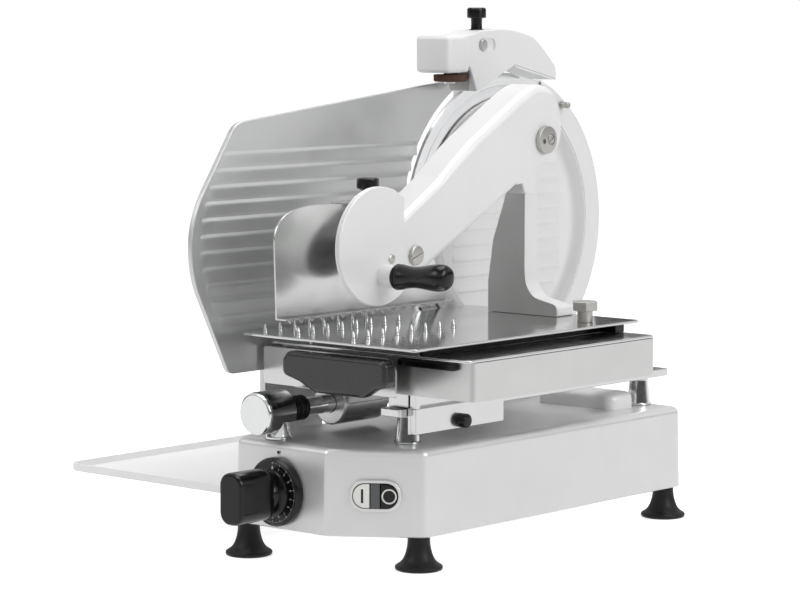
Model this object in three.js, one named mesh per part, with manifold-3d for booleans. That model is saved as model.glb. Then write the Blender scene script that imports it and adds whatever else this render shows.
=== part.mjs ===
// A vertical straight-feed meat slicer with a 350 mm blade, driven by a motor in its base.
// Millimetres. +X is the operator's right, +Y is the way the carriage travels, +Z is up.
import * as THREE from "three";
import { mergeVertices } from "three/addons/utils/BufferGeometryUtils.js";
import Module from "manifold-3d";

const wasm = await Module();
wasm.setup();

// Clearances and facets
const seat = 0.3; // between pieces that are bolted or seated on one another
const running = 0.6; // round shafts and slides that move
const overrun = 4; // how far a cut runs past the face that it opens
const fine = 44; // facets of the large round pieces
const round = 16;
const small = 12;
const turn = 2 * Math.PI;
const degree = Math.PI / 180;

// Base housing, standing on four feet, with a chamfered front right corner
const base = {
  width: 220.5, length: 507, bottom: 36, top: 127.5,
  chamferX: 85.5, chamferY: 60,
  wall: 5, draft: 2, corner: 10, rounding: 8,
};
const cover = { thickness: 2.5 };
const dome = { left: -38, right: 73, front: 168, rear: 214, height: 18, rounding: 7 };
const foot = { sole: 25, neck: 11.7, lip: 5, flare: 16, insetFront: 12.5, insetRear: 13.5, insetSide: 12.4 };
const footRightFront = { insetSide: 17.25, insetFront: 68.5 };
const gland = { x: 40, z: 62, outer: 11, bore: 4.5, length: 16, nut: 5 };

// Rails on turned posts
const rod = { x: -61.4, z: 157, radius: 10, length: 533 };
const rodCap = { radius: 22.5, length: 21, pocket: 18.4, rounding: 2 };
const bumper = { radius: 13.5, groove: 11.8, behindEnd: 50.5, pitch: 7.5, ribs: 3 };
const rail = { left: 48, right: 76, bottom: 158, thickness: 8.4, front: -196, rear: 270 };
const post = { foot: 14.35, head: 10, collar: 2, frontInset: 33.5, rearInset: 34.5, railFront: -167 };

// Blade and what surrounds it
const blade = { y: 203, z: 327.4, radius: 175, face: -113, thickness: 3, hub: 34, bore: 12 };
const ringLap = { over: 3.5, under: 24.5 };
const ring = {
  outer: blade.radius + ringLap.over, inner: blade.radius - ringLap.under, wall: 2.4, lip: 2.2, depth: 16,
  from: -140, to: 68,
};
const ringPin = { y: 302, z: 462.5, radius: 4.4, reach: 9, collar: 6.2, collarWidth: 3 };
const plate = {
  radius: 148.6, thickness: 2.4, gap: 1, bandOuter: 144, bandInner: 118, dish: 1.6,
};
const coverRib = { half: 98, pitch: 17.7, count: 9, first: 254, height: 1.3, width: 9 };

// Head casting behind the blade, with the belt drive
const head = {
  front: -127, rear: -182, wall: 6, radius: 88, columnFront: 123, columnRear: 292,
  bottom: 44, flangeTop: 118,
};
const ringArms = { angles: [40, -8, -62], width: 22, depth: 12 };
const tieRod = { radius: 5 };
const rearCover = { thickness: 4 };
const bearing = { outer: 30, flange: 42, flangeWidth: 4, length: 22 };
const shaft = { radius: 12, rear: -172 };
const motor = { y: 203, z: 80, radius: 38, left: -84, right: 66, shaft: 8 };
const motorFoot = { inset: 20, width: 22, half: 26, height: 16 };
const belt = { left: -166, width: 12, thickness: 3.6 };
const bigPulley = { radius: 74, rim: 16, web: 4 };
const smallPulley = { radius: 20 };

// Gauge plate, moved by the dial through a spiral cam
const gauge = {
  face: -112, rib: 1, thickness: 6, travel: 15, gap: 3, edge: 1.2,
  margin: 13, ribPitch: 17.1, ribFirst: 254, ribCount: 11, ribWidth: 11, ribRise: 0.7,
  front: -309, rear: 203, bottom: 193, top: 496,
  bulgeHeight: 330, bulgeSpan: 130, upperBulge: 66, lowerBulge: 78,
  outlineShares: [
    [0.1699, 0], [0.7598, 0], [1, 0.4436], [0.8164, 1], [0.7051, 0.9818], [0.1582, 0.8812],
    [0.127, 0.8779, 0.1113, 0.8284], [0.043, 0.6601], [0, 0.5578, 0, 0.4521],
    [0, 0.3465, 0.0254, 0.2706], [0.0996, 0.0231], [0.1074, 0, 0.123, 0],
  ],
};
const carrier = {
  back: -134, thickness: 8, front: -186, rear: -96, bottom: 58, top: 300, corner: 8,
  padInset: 10, padHalf: 12, padHeights: [230, 270], shoulder: 40, neck: 30,
};
const slideBar = { y: -150, z: 75, radius: 9, tip: 3, boss: 15, bossLength: 20 };
const guideBar = { y: -112, z: 75, radius: 6, end: -60 };
const dial = { x: -43, z: 75.5, radius: 36.4, thickness: 8, edge: 3, hub: 15 };
const dialKnob = { width: 31, height: 54, length: 63, waist: 4, neck: 22 };
const dialShaft = { radius: 5, rear: -138 };
const cam = { smallest: 10, thickness: 10, sweep: 300 };

// Switch on the chamfer
const switchPlate = {
  width: 54, height: 33, proud: 3.4, border: 2.4, z: 79.5, wall: 1.2,
  bodyWidth: 49.6, bodyHeight: 28.6, bodyDepth: 30, lens: 11, buttonDepth: 10, buttonProud: 1.8,
};

// Carriage on the rails
const box = {
  left: -106, right: 172, front: -192, rear: 115, bottom: 182, top: 221.7, wall: 3,
  notchX: 16, notchY: 11, corner: 6,
};
const lid = { front: -200, thickness: 3, corner: 7 };
const frontPlate = {
  left: -108, right: 80, bottom: 180, top: 220, face: -207, thickness: 3, corner: 13,
  spacer: 6, spacerShare: [0.27, 0.8],
};
const handle = {
  left: -41, right: 104, bottom: 193, top: 224, front: -250, depth: 18, rounding: 4,
  lowLeft: -18, lowRight: 87, tipLeft: 4, tipRight: 70, low: 183,
  lug: 16, lugHeight: 16, lugAt: [-14, 62],
};
const gripBar = { left: 75, right: 152, top: 220.5, height: 8, depth: 6.5 };
const bearingBlock = { front: -165, saddleLeft: -104, saddleRight: -40, saddleBottom: 171 };
const sleeve = { radius: 19, front: -140, rear: -85 };
const shoe = {
  front: -184, rear: -41, left: 50, plate: 88, plateThickness: 8, plateTop: 167.2,
  bottom: 139.5, web: 76.8, strip: 7,
};
const lockKnob = { y: -112, z: 148, radius: 7.5, head: 10, screw: 4 };

// Spiked meat table, crossing the carriage
const table = {
  left: -104, right: 140, front: -246, rear: 130, top: 238, thickness: 3, corner: 6,
  peg: 3.2, pegX: -51, pegY: -192,
};
const spike = { height: 10, radius: 1.7, pitch: 22.6, count: 8, rows: [[41, -228], [-35, -230], [-77, -236]] };
const band = { left: 105, right: 111, front: -204, rear: 112, blockLeft: 105, blockRight: 132, blockLength: 16 };
const wallPost = {
  face: 90, depth: 24, footDepth: 34, footHeight: 8, left: -44, right: 55, top: 446, bossLeft: -10,
  outlineShares: [
    [0, 0], [0, 0.1671], [0.0707, 0.3885], [0.2222, 0.5908], [0.3434, 0.7785, 0.3434, 0.8989],
    [0.3434, 1], [0.5354, 1], [0.5354, 0.2489], [0.5354, 0.1045, 0.7475, 0.0852], [0.9495, 0.066],
    [1, 0.0563, 1, 0.0323], [1, 0],
  ],
};
const stopBolt = { x: 108.5, y: 72, stem: 8.4, across: 26, hex: 10, top: 261 };

// Press arm with its guard, grip and press plate
const pivot = { y: 98, z: 433, pin: 8, boss: 15, head: 15.5, headWidth: 6, left: -12 };
const arm = {
  face: 30, plate: 6, back: -10, rim: 4, edge: 2.5, half: 34,
  front: -182, rear: 133, bottom: 291, top: 494, mouthFront: 58, mouthRear: 150, mouthBottom: 360, mouthTop: 439,
  lowEnd: [-150, 322], highEnd: [92, 443],
  outlineShares: [
    [0.2825, 0.0739], [0.7746, 0.4828], [0.8444, 0.5369, 0.8698, 0.532],
    [0.9937, 0.5369, 0.9968, 0.7143], [1, 1, 0.8635, 1], [0.819, 0.9951, 0.7302, 0.9163],
    [0.5206, 0.7291], [0.4381, 0.6502, 0.3365, 0.5222], [0.1016, 0.3005], [0, 0.202, 0, 0.1034],
    [0.0032, 0.0049, 0.1016, 0], [0.2032, 0.0049, 0.2825, 0.0739],
  ],
};
const lowerPin = { y: -119, z: 319, head: 10.5, headWidth: 4, shank: 5, hub: 13 };
const guard = {
  y: -187, z: 333, radius: 62, cut: -148, near: 38, thickness: 3, cup: 7,
  rivetY: -169, rivetZ: 319, rivet: 5,
};
const grip = { y: -180, z: 302, start: 59, length: 70, radius: 14, neck: 11, boss: 12, rise: 3 };
const press = {
  face: -40, thickness: 2.5, ledge: 13, tooth: 5, toothPitch: 16, toothThickness: 1.6, ledgeThickness: 2,
  left: -260, front: -257, rear: 12, bottom: 256, top: 373.5,
  outlineShares: [
    [0.011, 0], [1, 0], [1, 0.0851], [0.9632, 0.1021, 0.9559, 0.2043], [0.9338, 0.5447, 0.8088, 0.766],
    [0.6838, 0.9872, 0.5515, 0.9957], [0.2206, 1], [0.0037, 0.9872, 0, 0.6979],
  ],
};
const clampKnob = { x: -25, y: -132.5, bottom: 376, top: 399.2, foot: 7.5, neck: 6.5, head: 12, headHeight: 11, stud: 3.5, studLength: 7 };
const shelf = { reach: 26, front: -172, rear: -116, thickness: 3 };

// Sharpener over the blade
const hood = {
  near: 46, far: 241, bottom: 484, top: 554,
  outlineShares: [
    [0.258, 0], [0.205, 0.3514], [0.195, 0.4], [0, 0.36], [0, 0.85], [0.0349, 0.8986], [0.1944, 0.91],
    [0.2836, 0.9714], [0.4641, 1], [0.62, 1, 0.7877, 0.8443], [0.882, 0.6443], [0.978, 0.3943],
    [1, 0.23, 0.9882, 0.1457], [0.594, 0.3957],
  ],
};
const sharpener = {
  front: -66, back: -106, endBack: -115, endRear: 84, endBottom: 506, endTop: 546, bridgeBack: -142, bridgeFront: 116, bridgeRear: 200, bridgeBottom: 514,
  rounding: 3, spindleTop: 526,
};
const column = { front: -128, rear: -146, left: 146, right: 182, top: 505, bottom: 404, pin: 6, pinTop: 536, y: 164 };
const stone = { y: 77, z: 499.5, x: -89, radius: 19, thickness: 8, spindle: 4 };
const fineStone = { y: 150, z: 508, x: -89, radius: 15, thickness: 7, spindle: 3.5 };
const stonePocket = 4;
const stoneWasher = 1.6;
const stoneRoom = 2.6;
const sharpKnob = {
  y: 121.3, x: -88, seat: 550.5, head: 10.8, headHeight: 11.8, neck: 6.5, collar: 8, collarHeight: 3, neckHeight: 12.5,
};

// Slice tray left of the base
const sliceTray = {
  left: -372, front: -250, bottom: 63, sheet: 1.6, rim: 9, corner: 14, notchRoom: 6, flange: 16,
};

// Solids

function solid(geometry) {
  const bare = geometry.clone();
  bare.deleteAttribute("normal");
  bare.deleteAttribute("uv");
  const merged = mergeVertices(bare, 1e-4);
  const triangles = [];
  const index = merged.index.array;
  for (let i = 0; i < index.length; i += 3) {
    const [a, b, c] = [index[i], index[i + 1], index[i + 2]];
    if (a !== b && b !== c && c !== a) triangles.push(a, b, c);
  }
  const vertices = Float32Array.from(merged.attributes.position.array);
  const made = (corners) =>
    new wasm.Manifold(new wasm.Mesh({ numProp: 3, vertProperties: vertices, triVerts: Uint32Array.from(corners) }));
  const body = made(triangles);
  return body.volume() < 0 ? made(triangles.reverse()) : body;
}

function geometryOf(body) {
  const mesh = body.getMesh();
  const geometry = new THREE.BufferGeometry();
  geometry.setAttribute("position", new THREE.BufferAttribute(mesh.vertProperties, mesh.numProp));
  geometry.setIndex(new THREE.BufferAttribute(mesh.triVerts, 1));
  geometry.computeVertexNormals();
  return geometry;
}

const join = (...bodies) => bodies.reduce((whole, body) => whole.add(body));
const cut = (whole, ...tools) => tools.reduce((rest, tool) => rest.subtract(tool), whole);

// Turns a geometry made along Z so that its (u, v, w) lie along the axis named
const frames = {
  x: new THREE.Matrix4().makeBasis(new THREE.Vector3(0, 1, 0), new THREE.Vector3(0, 0, 1), new THREE.Vector3(1, 0, 0)),
  y: new THREE.Matrix4().makeBasis(new THREE.Vector3(1, 0, 0), new THREE.Vector3(0, 0, 1), new THREE.Vector3(0, -1, 0)),
  z: new THREE.Matrix4(),
};

// A shape pushed along an axis: seen as (y, z) along x, as (x, z) along y and as (x, y) along z
function extrude(shape, axis, from, to, { edge = 0, facets = 2, edgeFacets = 2 } = {}) {
  const [low, high] = axis === "y" ? [-to, -from] : [from, to];
  const geometry = new THREE.ExtrudeGeometry(shape, {
    depth: high - low - 2 * edge,
    curveSegments: facets,
    bevelEnabled: edge > 0,
    bevelSize: edge,
    bevelThickness: edge,
    bevelOffset: -edge,
    bevelSegments: edgeFacets,
  });
  return solid(geometry.translate(0, 0, low + edge).applyMatrix4(frames[axis]));
}

function block([left, right], [front, rear], [bottom, top]) {
  const geometry = new THREE.BoxGeometry(right - left, rear - front, top - bottom);
  return solid(geometry.translate((left + right) / 2, (front + rear) / 2, (bottom + top) / 2));
}

// A cylinder or a cone along an axis, centred at (u, v) of that axis's shape plane
function cylinder(axis, [u, v], from, to, radius, endRadius = radius, facets = round) {
  const [low, high] = axis === "y" ? [-to, -from] : [from, to];
  const [start, end] = axis === "y" ? [endRadius, radius] : [radius, endRadius];
  const geometry = new THREE.CylinderGeometry(end, start, high - low, facets);
  geometry.rotateX(Math.PI / 2).translate(u, v, (low + high) / 2);
  return solid(geometry.applyMatrix4(frames[axis]));
}

// A profile of [radius, place along the axis] turned about an axis through (u, v)
function revolve(axis, [u, v], profile, facets = round) {
  const points = profile.map(([radius, place]) => new THREE.Vector2(radius, axis === "y" ? -place : place));
  const geometry = new THREE.LatheGeometry(points, facets);
  geometry.rotateX(Math.PI / 2).translate(u, v, 0);
  return solid(geometry.applyMatrix4(frames[axis]));
}

// Outlines

function rectangle(left, right, low, high) {
  return [[left, low], [right, low], [right, high], [left, high]];
}

// A polygon with rounded corners; the radius is one value or a value for each corner
function rounded(points, radius) {
  const shape = new THREE.Shape();
  const corner = (i) => new THREE.Vector2(...points[(i + points.length) % points.length]);
  points.forEach((point, i) => {
    const here = corner(i);
    const back = corner(i - 1).sub(here);
    const ahead = corner(i + 1).sub(here);
    const wanted = Array.isArray(radius) ? radius[i] : radius;
    if (wanted === 0) {
      if (i === 0) shape.moveTo(...point);
      else shape.lineTo(...point);
      return;
    }
    const half = Math.acos(back.dot(ahead) / (back.length() * ahead.length())) / 2;
    const most = 0.48 * Math.min(back.length(), ahead.length());
    const reach = Math.min(wanted / Math.tan(half), most);
    const arcRadius = reach * Math.tan(half);
    const clockwise = ahead.cross(back) < 0;
    const start = here.clone().add(back.clone().setLength(reach));
    const end = here.clone().add(ahead.clone().setLength(reach));
    const inward = back.normalize().add(ahead.normalize()).setLength(arcRadius / Math.sin(half));
    const centre = here.clone().add(inward);
    if (i === 0) shape.moveTo(start.x, start.y);
    shape.absarc(
      centre.x, centre.y, arcRadius, start.sub(centre).angle(), end.sub(centre).angle(), clockwise);
  });
  shape.closePath();
  return shape;
}

// A convex, counterclockwise polygon drawn in by a distance
function inset(points, distance) {
  const count = points.length;
  const edges = points.map((point, i) => {
    const next = points[(i + 1) % count];
    const length = Math.hypot(next[0] - point[0], next[1] - point[1]);
    const normal = [(point[1] - next[1]) / length, (next[0] - point[0]) / length];
    return { normal, offset: normal[0] * point[0] + normal[1] * point[1] + distance };
  });
  return points.map((point, i) => {
    const a = edges[(i + count - 1) % count];
    const b = edges[i];
    const across = a.normal[0] * b.normal[1] - a.normal[1] * b.normal[0];
    return [
      (a.offset * b.normal[1] - b.offset * a.normal[1]) / across,
      (b.offset * a.normal[0] - a.offset * b.normal[0]) / across,
    ];
  });
}

// A closed outline in shares of a frame; a point with four shares is a curve, pulled by its first two
function traced([left, right, bottom, top], shares) {
  const u = (share) => left + share * (right - left);
  const v = (share) => bottom + share * (top - bottom);
  const shape = new THREE.Shape();
  shares.forEach(([a, b, c, d], i) => {
    if (i === 0) shape.moveTo(u(a), v(b));
    else if (c === undefined) shape.lineTo(u(a), v(b));
    else shape.quadraticCurveTo(u(a), v(b), u(c), v(d));
  });
  shape.closePath();
  return shape;
}

// Scene graph: a body is a group at its own home, and its meshes are made in the machine's frame

const slicer = new THREE.Group();
slicer.userData.home = new THREE.Vector3();

function bodyOf(parent, name, x, y, z) {
  const group = new THREE.Group();
  group.name = name;
  group.userData.home = new THREE.Vector3(x, y, z);
  group.position.copy(group.userData.home).sub(parent.userData.home);
  parent.add(group);
  return group;
}

function place(parent, name, body, material) {
  const { x, y, z } = parent.userData.home;
  const mesh = new THREE.Mesh(geometryOf(body).translate(-x, -y, -z), material);
  mesh.name = name;
  parent.add(mesh);
  return mesh;
}

const paint = (color, roughness, metalness) => new THREE.MeshStandardMaterial({ color, roughness, metalness });
const castPaint = paint(0xe6e7e6, 0.45, 0.2);
const baseMetal = paint(0xc3c4c4, 0.38, 0.8);
const steel = paint(0xc9cacb, 0.25, 1);
const brushed = paint(0xb9bbbc, 0.35, 1);
const chrome = paint(0xdfe0e1, 0.08, 1);
const bladeSteel = paint(0xd2d4d6, 0.15, 1);
const black = paint(0x151515, 0.3, 0);
const rubber = paint(0x1b1b1b, 0.7, 0);
const stoneBrown = paint(0x5b3a2e, 0.9, 0);
const smoked = paint(0x2c2c30, 0.1, 0);
const ivory = paint(0xe9e9e2, 0.4, 0);

const bladeCentre = [blade.y, blade.z];

// Base

const baseLeft = -base.width / 2;
const baseRight = base.width / 2;
const baseFront = -base.length / 2;
const baseRear = base.length / 2;
const basePolygon = [
  [baseLeft, baseFront],
  [baseRight - base.chamferX, baseFront],
  [baseRight, baseFront + base.chamferY],
  [baseRight, baseRear],
  [baseLeft, baseRear],
];
const chamferAngle = Math.atan2(base.chamferY, base.chamferX);
const chamferCentre = [baseRight - base.chamferX / 2, baseFront + base.chamferY / 2];

// A solid made flat in the chamfer's own frame, brought to the chamfer
function ontoChamfer(body) {
  return body.rotate([0, 0, chamferAngle / degree]).translate([...chamferCentre, switchPlate.z]);
}

function drafted(body) {
  const share = base.draft / (base.width / 2);
  return body.warp((vertex) => {
    const lean = 1 - share * Math.max(0, (vertex[2] - base.bottom) / (base.top - base.bottom));
    vertex[0] *= lean;
    vertex[1] = Math.sign(vertex[1]) * (Math.abs(vertex[1]) - base.draft * (1 - lean) / share);
  });
}

function baseHousing() {
  const outline = rounded(basePolygon, base.corner);
  const full = extrude(outline, "z", base.bottom - 2 * base.rounding, base.top, {
    edge: base.rounding, facets: 2, edgeFacets: 3,
  });
  const belowFloor = block(
    [2 * baseLeft, 2 * baseRight], [2 * baseFront, 2 * baseRear], [base.bottom - 3 * base.rounding, base.bottom]);
  const cavityInset = base.wall + base.draft;
  const cavity = extrude(
    rounded(inset(basePolygon, cavityInset), base.corner - base.wall), "z",
    base.bottom - overrun, base.top - base.wall);
  const raised = extrude(
    rounded(rectangle(dome.left, dome.right, dome.front, dome.rear), 2 * dome.rounding), "z",
    base.top - 2 * dome.rounding, base.top + dome.height, { edge: dome.rounding, facets: 2, edgeFacets: 2 });
  const boss = (bar) => cylinder(
    "x", [bar.y, bar.z], baseLeft + base.wall, baseLeft + base.wall + slideBar.bossLength,
    bar.radius + slideBar.boss - slideBar.radius, undefined, small);
  const bore = (bar) => cylinder(
    "x", [bar.y, bar.z], baseLeft - overrun, baseLeft + base.wall + slideBar.bossLength + overrun,
    bar.radius + running, undefined, small);
  const switchHole = ontoChamfer(extrude(
    roundEnded(switchPlate.bodyWidth + 2 * seat, switchPlate.bodyHeight + 2 * seat), "y", -2 * overrun, 4 * overrun,
    { facets: 6 }));
  return cut(
    join(cut(join(drafted(cut(full, belowFloor)), raised), cavity), boss(slideBar), boss(guideBar)),
    bore(slideBar), bore(guideBar), switchHole,
    cylinder("y", [dial.x, dial.z], baseFront - overrun, baseFront + 3 * overrun,
      dialShaft.radius + running, undefined, small),
    cylinder("x", [motor.y, motor.z], baseLeft - overrun, baseLeft + 3 * overrun,
      motor.shaft + 2, undefined, small),
    cylinder("y", [gland.x, gland.z], baseRear - 3 * overrun, baseRear + overrun,
      gland.outer - gland.nut + seat, undefined, small));
}

function bottomCover() {
  const fit = base.wall + base.draft + seat;
  return extrude(
    rounded(inset(basePolygon, fit), base.corner - base.wall), "z",
    base.bottom, base.bottom + cover.thickness, { facets: 3 });
}

function rubberFoot({ x, y }) {
  const top = base.bottom - seat;
  return revolve("z", [x, y], [
    [0, 0], [foot.sole - 1, 0], [foot.sole, foot.lip / 3], [foot.sole - 1, foot.lip],
    [foot.sole - foot.lip, foot.lip + foot.flare / 4],
    [foot.neck + foot.lip / 2, foot.lip + foot.flare / 2],
    [foot.neck, foot.lip + foot.flare], [foot.neck, top], [0, top],
  ], round);
}

const feet = {
  foot_front_left: { x: baseLeft + foot.insetSide, y: baseFront + foot.insetFront },
  foot_front_right: { x: baseRight - footRightFront.insetSide, y: baseFront + footRightFront.insetFront },
  foot_rear_left: { x: baseLeft + foot.insetRear, y: baseRear - foot.insetRear },
  foot_rear_right: { x: baseRight - foot.insetRear - foot.lip, y: baseRear - foot.insetRear },
};

function cableGland() {
  const wallFace = baseRear + seat;
  return revolve("y", [gland.x, gland.z], [
    [gland.bore, wallFace - 3 * overrun], [gland.outer - gland.nut, wallFace - 3 * overrun],
    [gland.outer - gland.nut, wallFace], [gland.outer, wallFace], [gland.outer, wallFace + gland.nut],
    [gland.outer - gland.nut / 2, wallFace + gland.nut],
    [gland.bore + 2, wallFace + gland.length], [gland.bore, wallFace + gland.length],
    [gland.bore, wallFace - 3 * overrun],
  ], small);
}

// Rails

function conePost(x, y, top) {
  const bottom = base.top + seat;
  return revolve("z", [x, y], [
    [0, bottom], [post.foot, bottom], [post.foot, bottom + post.collar],
    [post.foot - 1, bottom + post.collar], [post.head, top], [0, top],
  ], round);
}

const postFront = post.frontInset - rod.length / 2;
const postRear = rod.length / 2 - post.rearInset;
const railMiddle = (rail.left + rail.right) / 2;
const rodPostTop = rod.z - rod.radius - seat;
const railPostTop = rail.bottom - seat;

function flatRail() {
  const outline = rounded(rectangle(rail.left, rail.right, rail.front, rail.rear), 3);
  return extrude(outline, "z", rail.bottom, rail.bottom + rail.thickness, { edge: 0.6, facets: 3, edgeFacets: 1 });
}

const guideRod = () => cylinder("y", [rod.x, rod.z], -rod.length / 2, rod.length / 2, rod.radius);

// A turned cap with a blind pocket that takes the end of the guide rod; side is -1 in front, 1 behind
function rodEnd(side) {
  const mouth = side * (rod.length / 2 - rodCap.pocket + seat);
  const bottom = side * (rod.length / 2 + seat);
  const outside = mouth + side * rodCap.length;
  const bore = rod.radius + seat;
  return revolve("y", [rod.x, rod.z], [
    [0, outside], [rodCap.radius - rodCap.rounding, outside],
    [rodCap.radius, outside - side * rodCap.rounding], [rodCap.radius, mouth], [bore, mouth],
    [bore, bottom], [0, bottom],
  ]);
}

function rodBumper() {
  const front = bumper.behindEnd - rod.length / 2;
  const profile = [];
  for (let i = 0; i < bumper.ribs; i += 1) {
    const start = front + i * bumper.pitch;
    profile.push([bumper.radius, start], [bumper.radius, start + bumper.pitch / 2]);
    if (i < bumper.ribs - 1) {
      profile.push([bumper.groove, start + 0.6 * bumper.pitch], [bumper.groove, start + 0.9 * bumper.pitch]);
    }
  }
  const bore = rod.radius + seat;
  const end = profile[profile.length - 1][1];
  return revolve("y", [rod.x, rod.z], [[bore, front], ...profile, [bore, end], [bore, front]]);
}

// Blade, ring guard and blade cover

const bladeBack = blade.face - blade.thickness;
const coverFace = blade.face + plate.gap + plate.thickness;

function knife() {
  const bevel = 12;
  return cut(
    revolve("x", bladeCentre, [
      [0, bladeBack], [blade.radius - bevel, bladeBack], [blade.radius, bladeBack + blade.thickness / 2],
      [blade.radius - bevel / 4, blade.face], [0, blade.face],
    ], fine),
    cylinder("x", bladeCentre, bladeBack - overrun, blade.face + overrun, blade.bore - 3, undefined, small));
}

// The guard is a channel that wraps the knife's edge, left open where the gauge plate meets the blade
function ringGuard() {
  const face = coverFace;
  const lipBack = face - ring.lip;
  const rear = face - ring.depth;
  const channel = revolve("x", bladeCentre, [
    [ring.inner, lipBack], [ring.inner, face], [ring.outer, face], [ring.outer, rear],
    [ring.inner + ring.depth, rear], [ring.inner + ring.depth, rear + ring.wall],
    [ring.outer - ring.wall, rear + ring.wall], [ring.outer - ring.wall, lipBack], [ring.inner, lipBack],
  ], fine + 12);
  const reach = 2 * ring.outer;
  const sector = new THREE.Shape();
  sector.moveTo(...bladeCentre);
  sector.lineTo(blade.y + reach * Math.cos(ring.from * degree), blade.z + reach * Math.sin(ring.from * degree));
  sector.absarc(...bladeCentre, reach, ring.from * degree, ring.to * degree, false);
  const pinAt = [ringPin.y, ringPin.z];
  const pin = join(
    cylinder("x", pinAt, lipBack, face + ringPin.reach, ringPin.radius, undefined, small),
    cylinder("x", pinAt, lipBack, face + ringPin.collarWidth, ringPin.collar, undefined, small));
  const kept = channel.intersect(extrude(sector, "x", rear - overrun, face + overrun, { facets: 3 }));
  return join(kept, pin);
}

function bladeCover() {
  const back = blade.face + plate.gap;
  const disc = revolve("x", bladeCentre, [
    [0, head.rear], [tieRod.radius, head.rear], [tieRod.radius, back],
    [plate.radius, back], [plate.radius, coverFace], [plate.bandOuter, coverFace],
    [(plate.bandOuter + plate.bandInner) / 2, coverFace - plate.dish], [plate.bandInner, coverFace], [0, coverFace],
  ], fine);
  const ribs = [];
  for (let i = 0; i < coverRib.count; i += 1) {
    const z = coverRib.first + i * coverRib.pitch;
    const half = Math.min(coverRib.half, Math.sqrt(plate.bandInner ** 2 - (z - blade.z) ** 2));
    const wedge = new THREE.Shape([
      new THREE.Vector2(coverFace - seat, z - coverRib.width / 2),
      new THREE.Vector2(coverFace + coverRib.height, z),
      new THREE.Vector2(coverFace - seat, z + coverRib.width / 4),
    ]);
    ribs.push(extrude(wedge, "y", blade.y - half, blade.y + half));
  }
  return join(disc, ...ribs);
}

// Head casting and drive

// The head's outline, grown by a distance: an upright column under a round housing
const headOutline = (grow) => {
  const radius = head.radius + grow;
  const front = head.columnFront - grow;
  const rear = head.columnRear + grow;
  const start = -Math.acos(Math.min(1, (rear - blade.y) / radius));
  const end = Math.PI + Math.acos(Math.min(1, (blade.y - front) / radius));
  const shape = new THREE.Shape();
  shape.moveTo(front, head.bottom - grow);
  shape.lineTo(rear, head.bottom - grow);
  shape.lineTo(rear, blade.z + radius * Math.sin(start));
  shape.absarc(blade.y, blade.z, radius, start, end, false);
  shape.closePath();
  return shape;
};

// An arm that reaches from the round housing to the back of the ring guard
function ringArm(angle) {
  const arm = extrude(
    new THREE.Shape(rectangle(head.radius - head.wall, ring.outer - ring.wall, -ringArms.width / 2, ringArms.width / 2)
      .map(([u, v]) => new THREE.Vector2(u, v))), "x",
    coverFace - ring.depth - seat - ringArms.depth, coverFace - ring.depth - seat);
  return arm.rotate([angle, 0, 0]).translate([0, blade.y, blade.z]);
}

function headCasting() {
  const outside = extrude(headOutline(0), "x", head.rear, head.front, { edge: 3, facets: 12, edgeFacets: 1 });
  const inside = extrude(headOutline(-head.wall), "x", head.rear - overrun, head.front - head.wall, { facets: 12 });
  const mounting = block(
    [head.front - head.wall, baseLeft - seat], [head.columnFront + head.wall, head.columnRear - head.wall],
    [head.bottom + head.wall, head.flangeTop]);
  const tower = block([column.rear, column.front], [column.left, column.right], [column.bottom, column.top]);
  const pin = cylinder("z", [(column.front + column.rear) / 2, column.y], column.top - overrun, column.pinTop,
    column.pin, undefined, small);
  const housing = cut(join(outside, ...ringArms.angles.map(ringArm)), inside);
  return cut(
    join(housing, mounting, tower, pin),
    cylinder("x", bladeCentre, head.front - head.wall - overrun, head.front + overrun, bearing.outer + seat),
    cylinder("x", [motor.y, motor.z], head.front - head.wall - overrun, baseLeft + overrun,
      motor.shaft + 3, undefined, small));
}

function headRearCover() {
  return extrude(headOutline(0), "x", head.rear - seat - rearCover.thickness, head.rear - seat, { facets: 12 });
}

function bearingHousing() {
  const flangeFace = head.front + seat;
  return revolve("x", bladeCentre, [
    [shaft.radius + running, flangeFace + bearing.flangeWidth], [bearing.flange, flangeFace + bearing.flangeWidth],
    [bearing.flange, flangeFace], [bearing.outer, flangeFace], [bearing.outer, flangeFace - bearing.length],
    [shaft.radius + running, flangeFace - bearing.length],
    [shaft.radius + running, flangeFace + bearing.flangeWidth],
  ]);
}

const beltRight = belt.left + belt.width;

function bladeShaft() {
  const bore = tieRod.radius + running;
  const spindle = revolve("x", bladeCentre, [
    [bore, shaft.rear], [shaft.radius, shaft.rear], [shaft.radius, bladeBack - seat - blade.thickness],
    [blade.hub, bladeBack - seat - blade.thickness], [blade.hub, bladeBack - seat], [bore, bladeBack - seat],
    [bore, shaft.rear],
  ]);
  const pulley = revolve("x", bladeCentre, [
    [bore + 1, belt.left], [bigPulley.radius, belt.left], [bigPulley.radius, beltRight],
    [bigPulley.radius - bigPulley.rim / 2, beltRight],
    [bigPulley.radius - bigPulley.rim / 2, belt.left + bigPulley.web],
    [shaft.radius + bigPulley.rim / 2, belt.left + bigPulley.web], [shaft.radius + bigPulley.rim / 2, beltRight],
    [bore + 1, beltRight], [bore + 1, belt.left],
  ], 32);
  return join(spindle, pulley);
}

function driveBelt() {
  const outline = (grow) => {
    const big = bigPulley.radius + grow;
    const little = smallPulley.radius + grow;
    const lean = Math.asin((big - little) / (blade.z - motor.z));
    const shape = new THREE.Shape();
    shape.absarc(blade.y, blade.z, big, -lean, Math.PI + lean, false);
    shape.absarc(motor.y, motor.z, little, Math.PI + lean, turn - lean, false);
    shape.closePath();
    return shape;
  };
  const options = { facets: 12 };
  return cut(
    extrude(outline(running + belt.thickness), "x", belt.left, beltRight, options),
    extrude(outline(running), "x", belt.left - overrun, beltRight + overrun, options));
}

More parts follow.
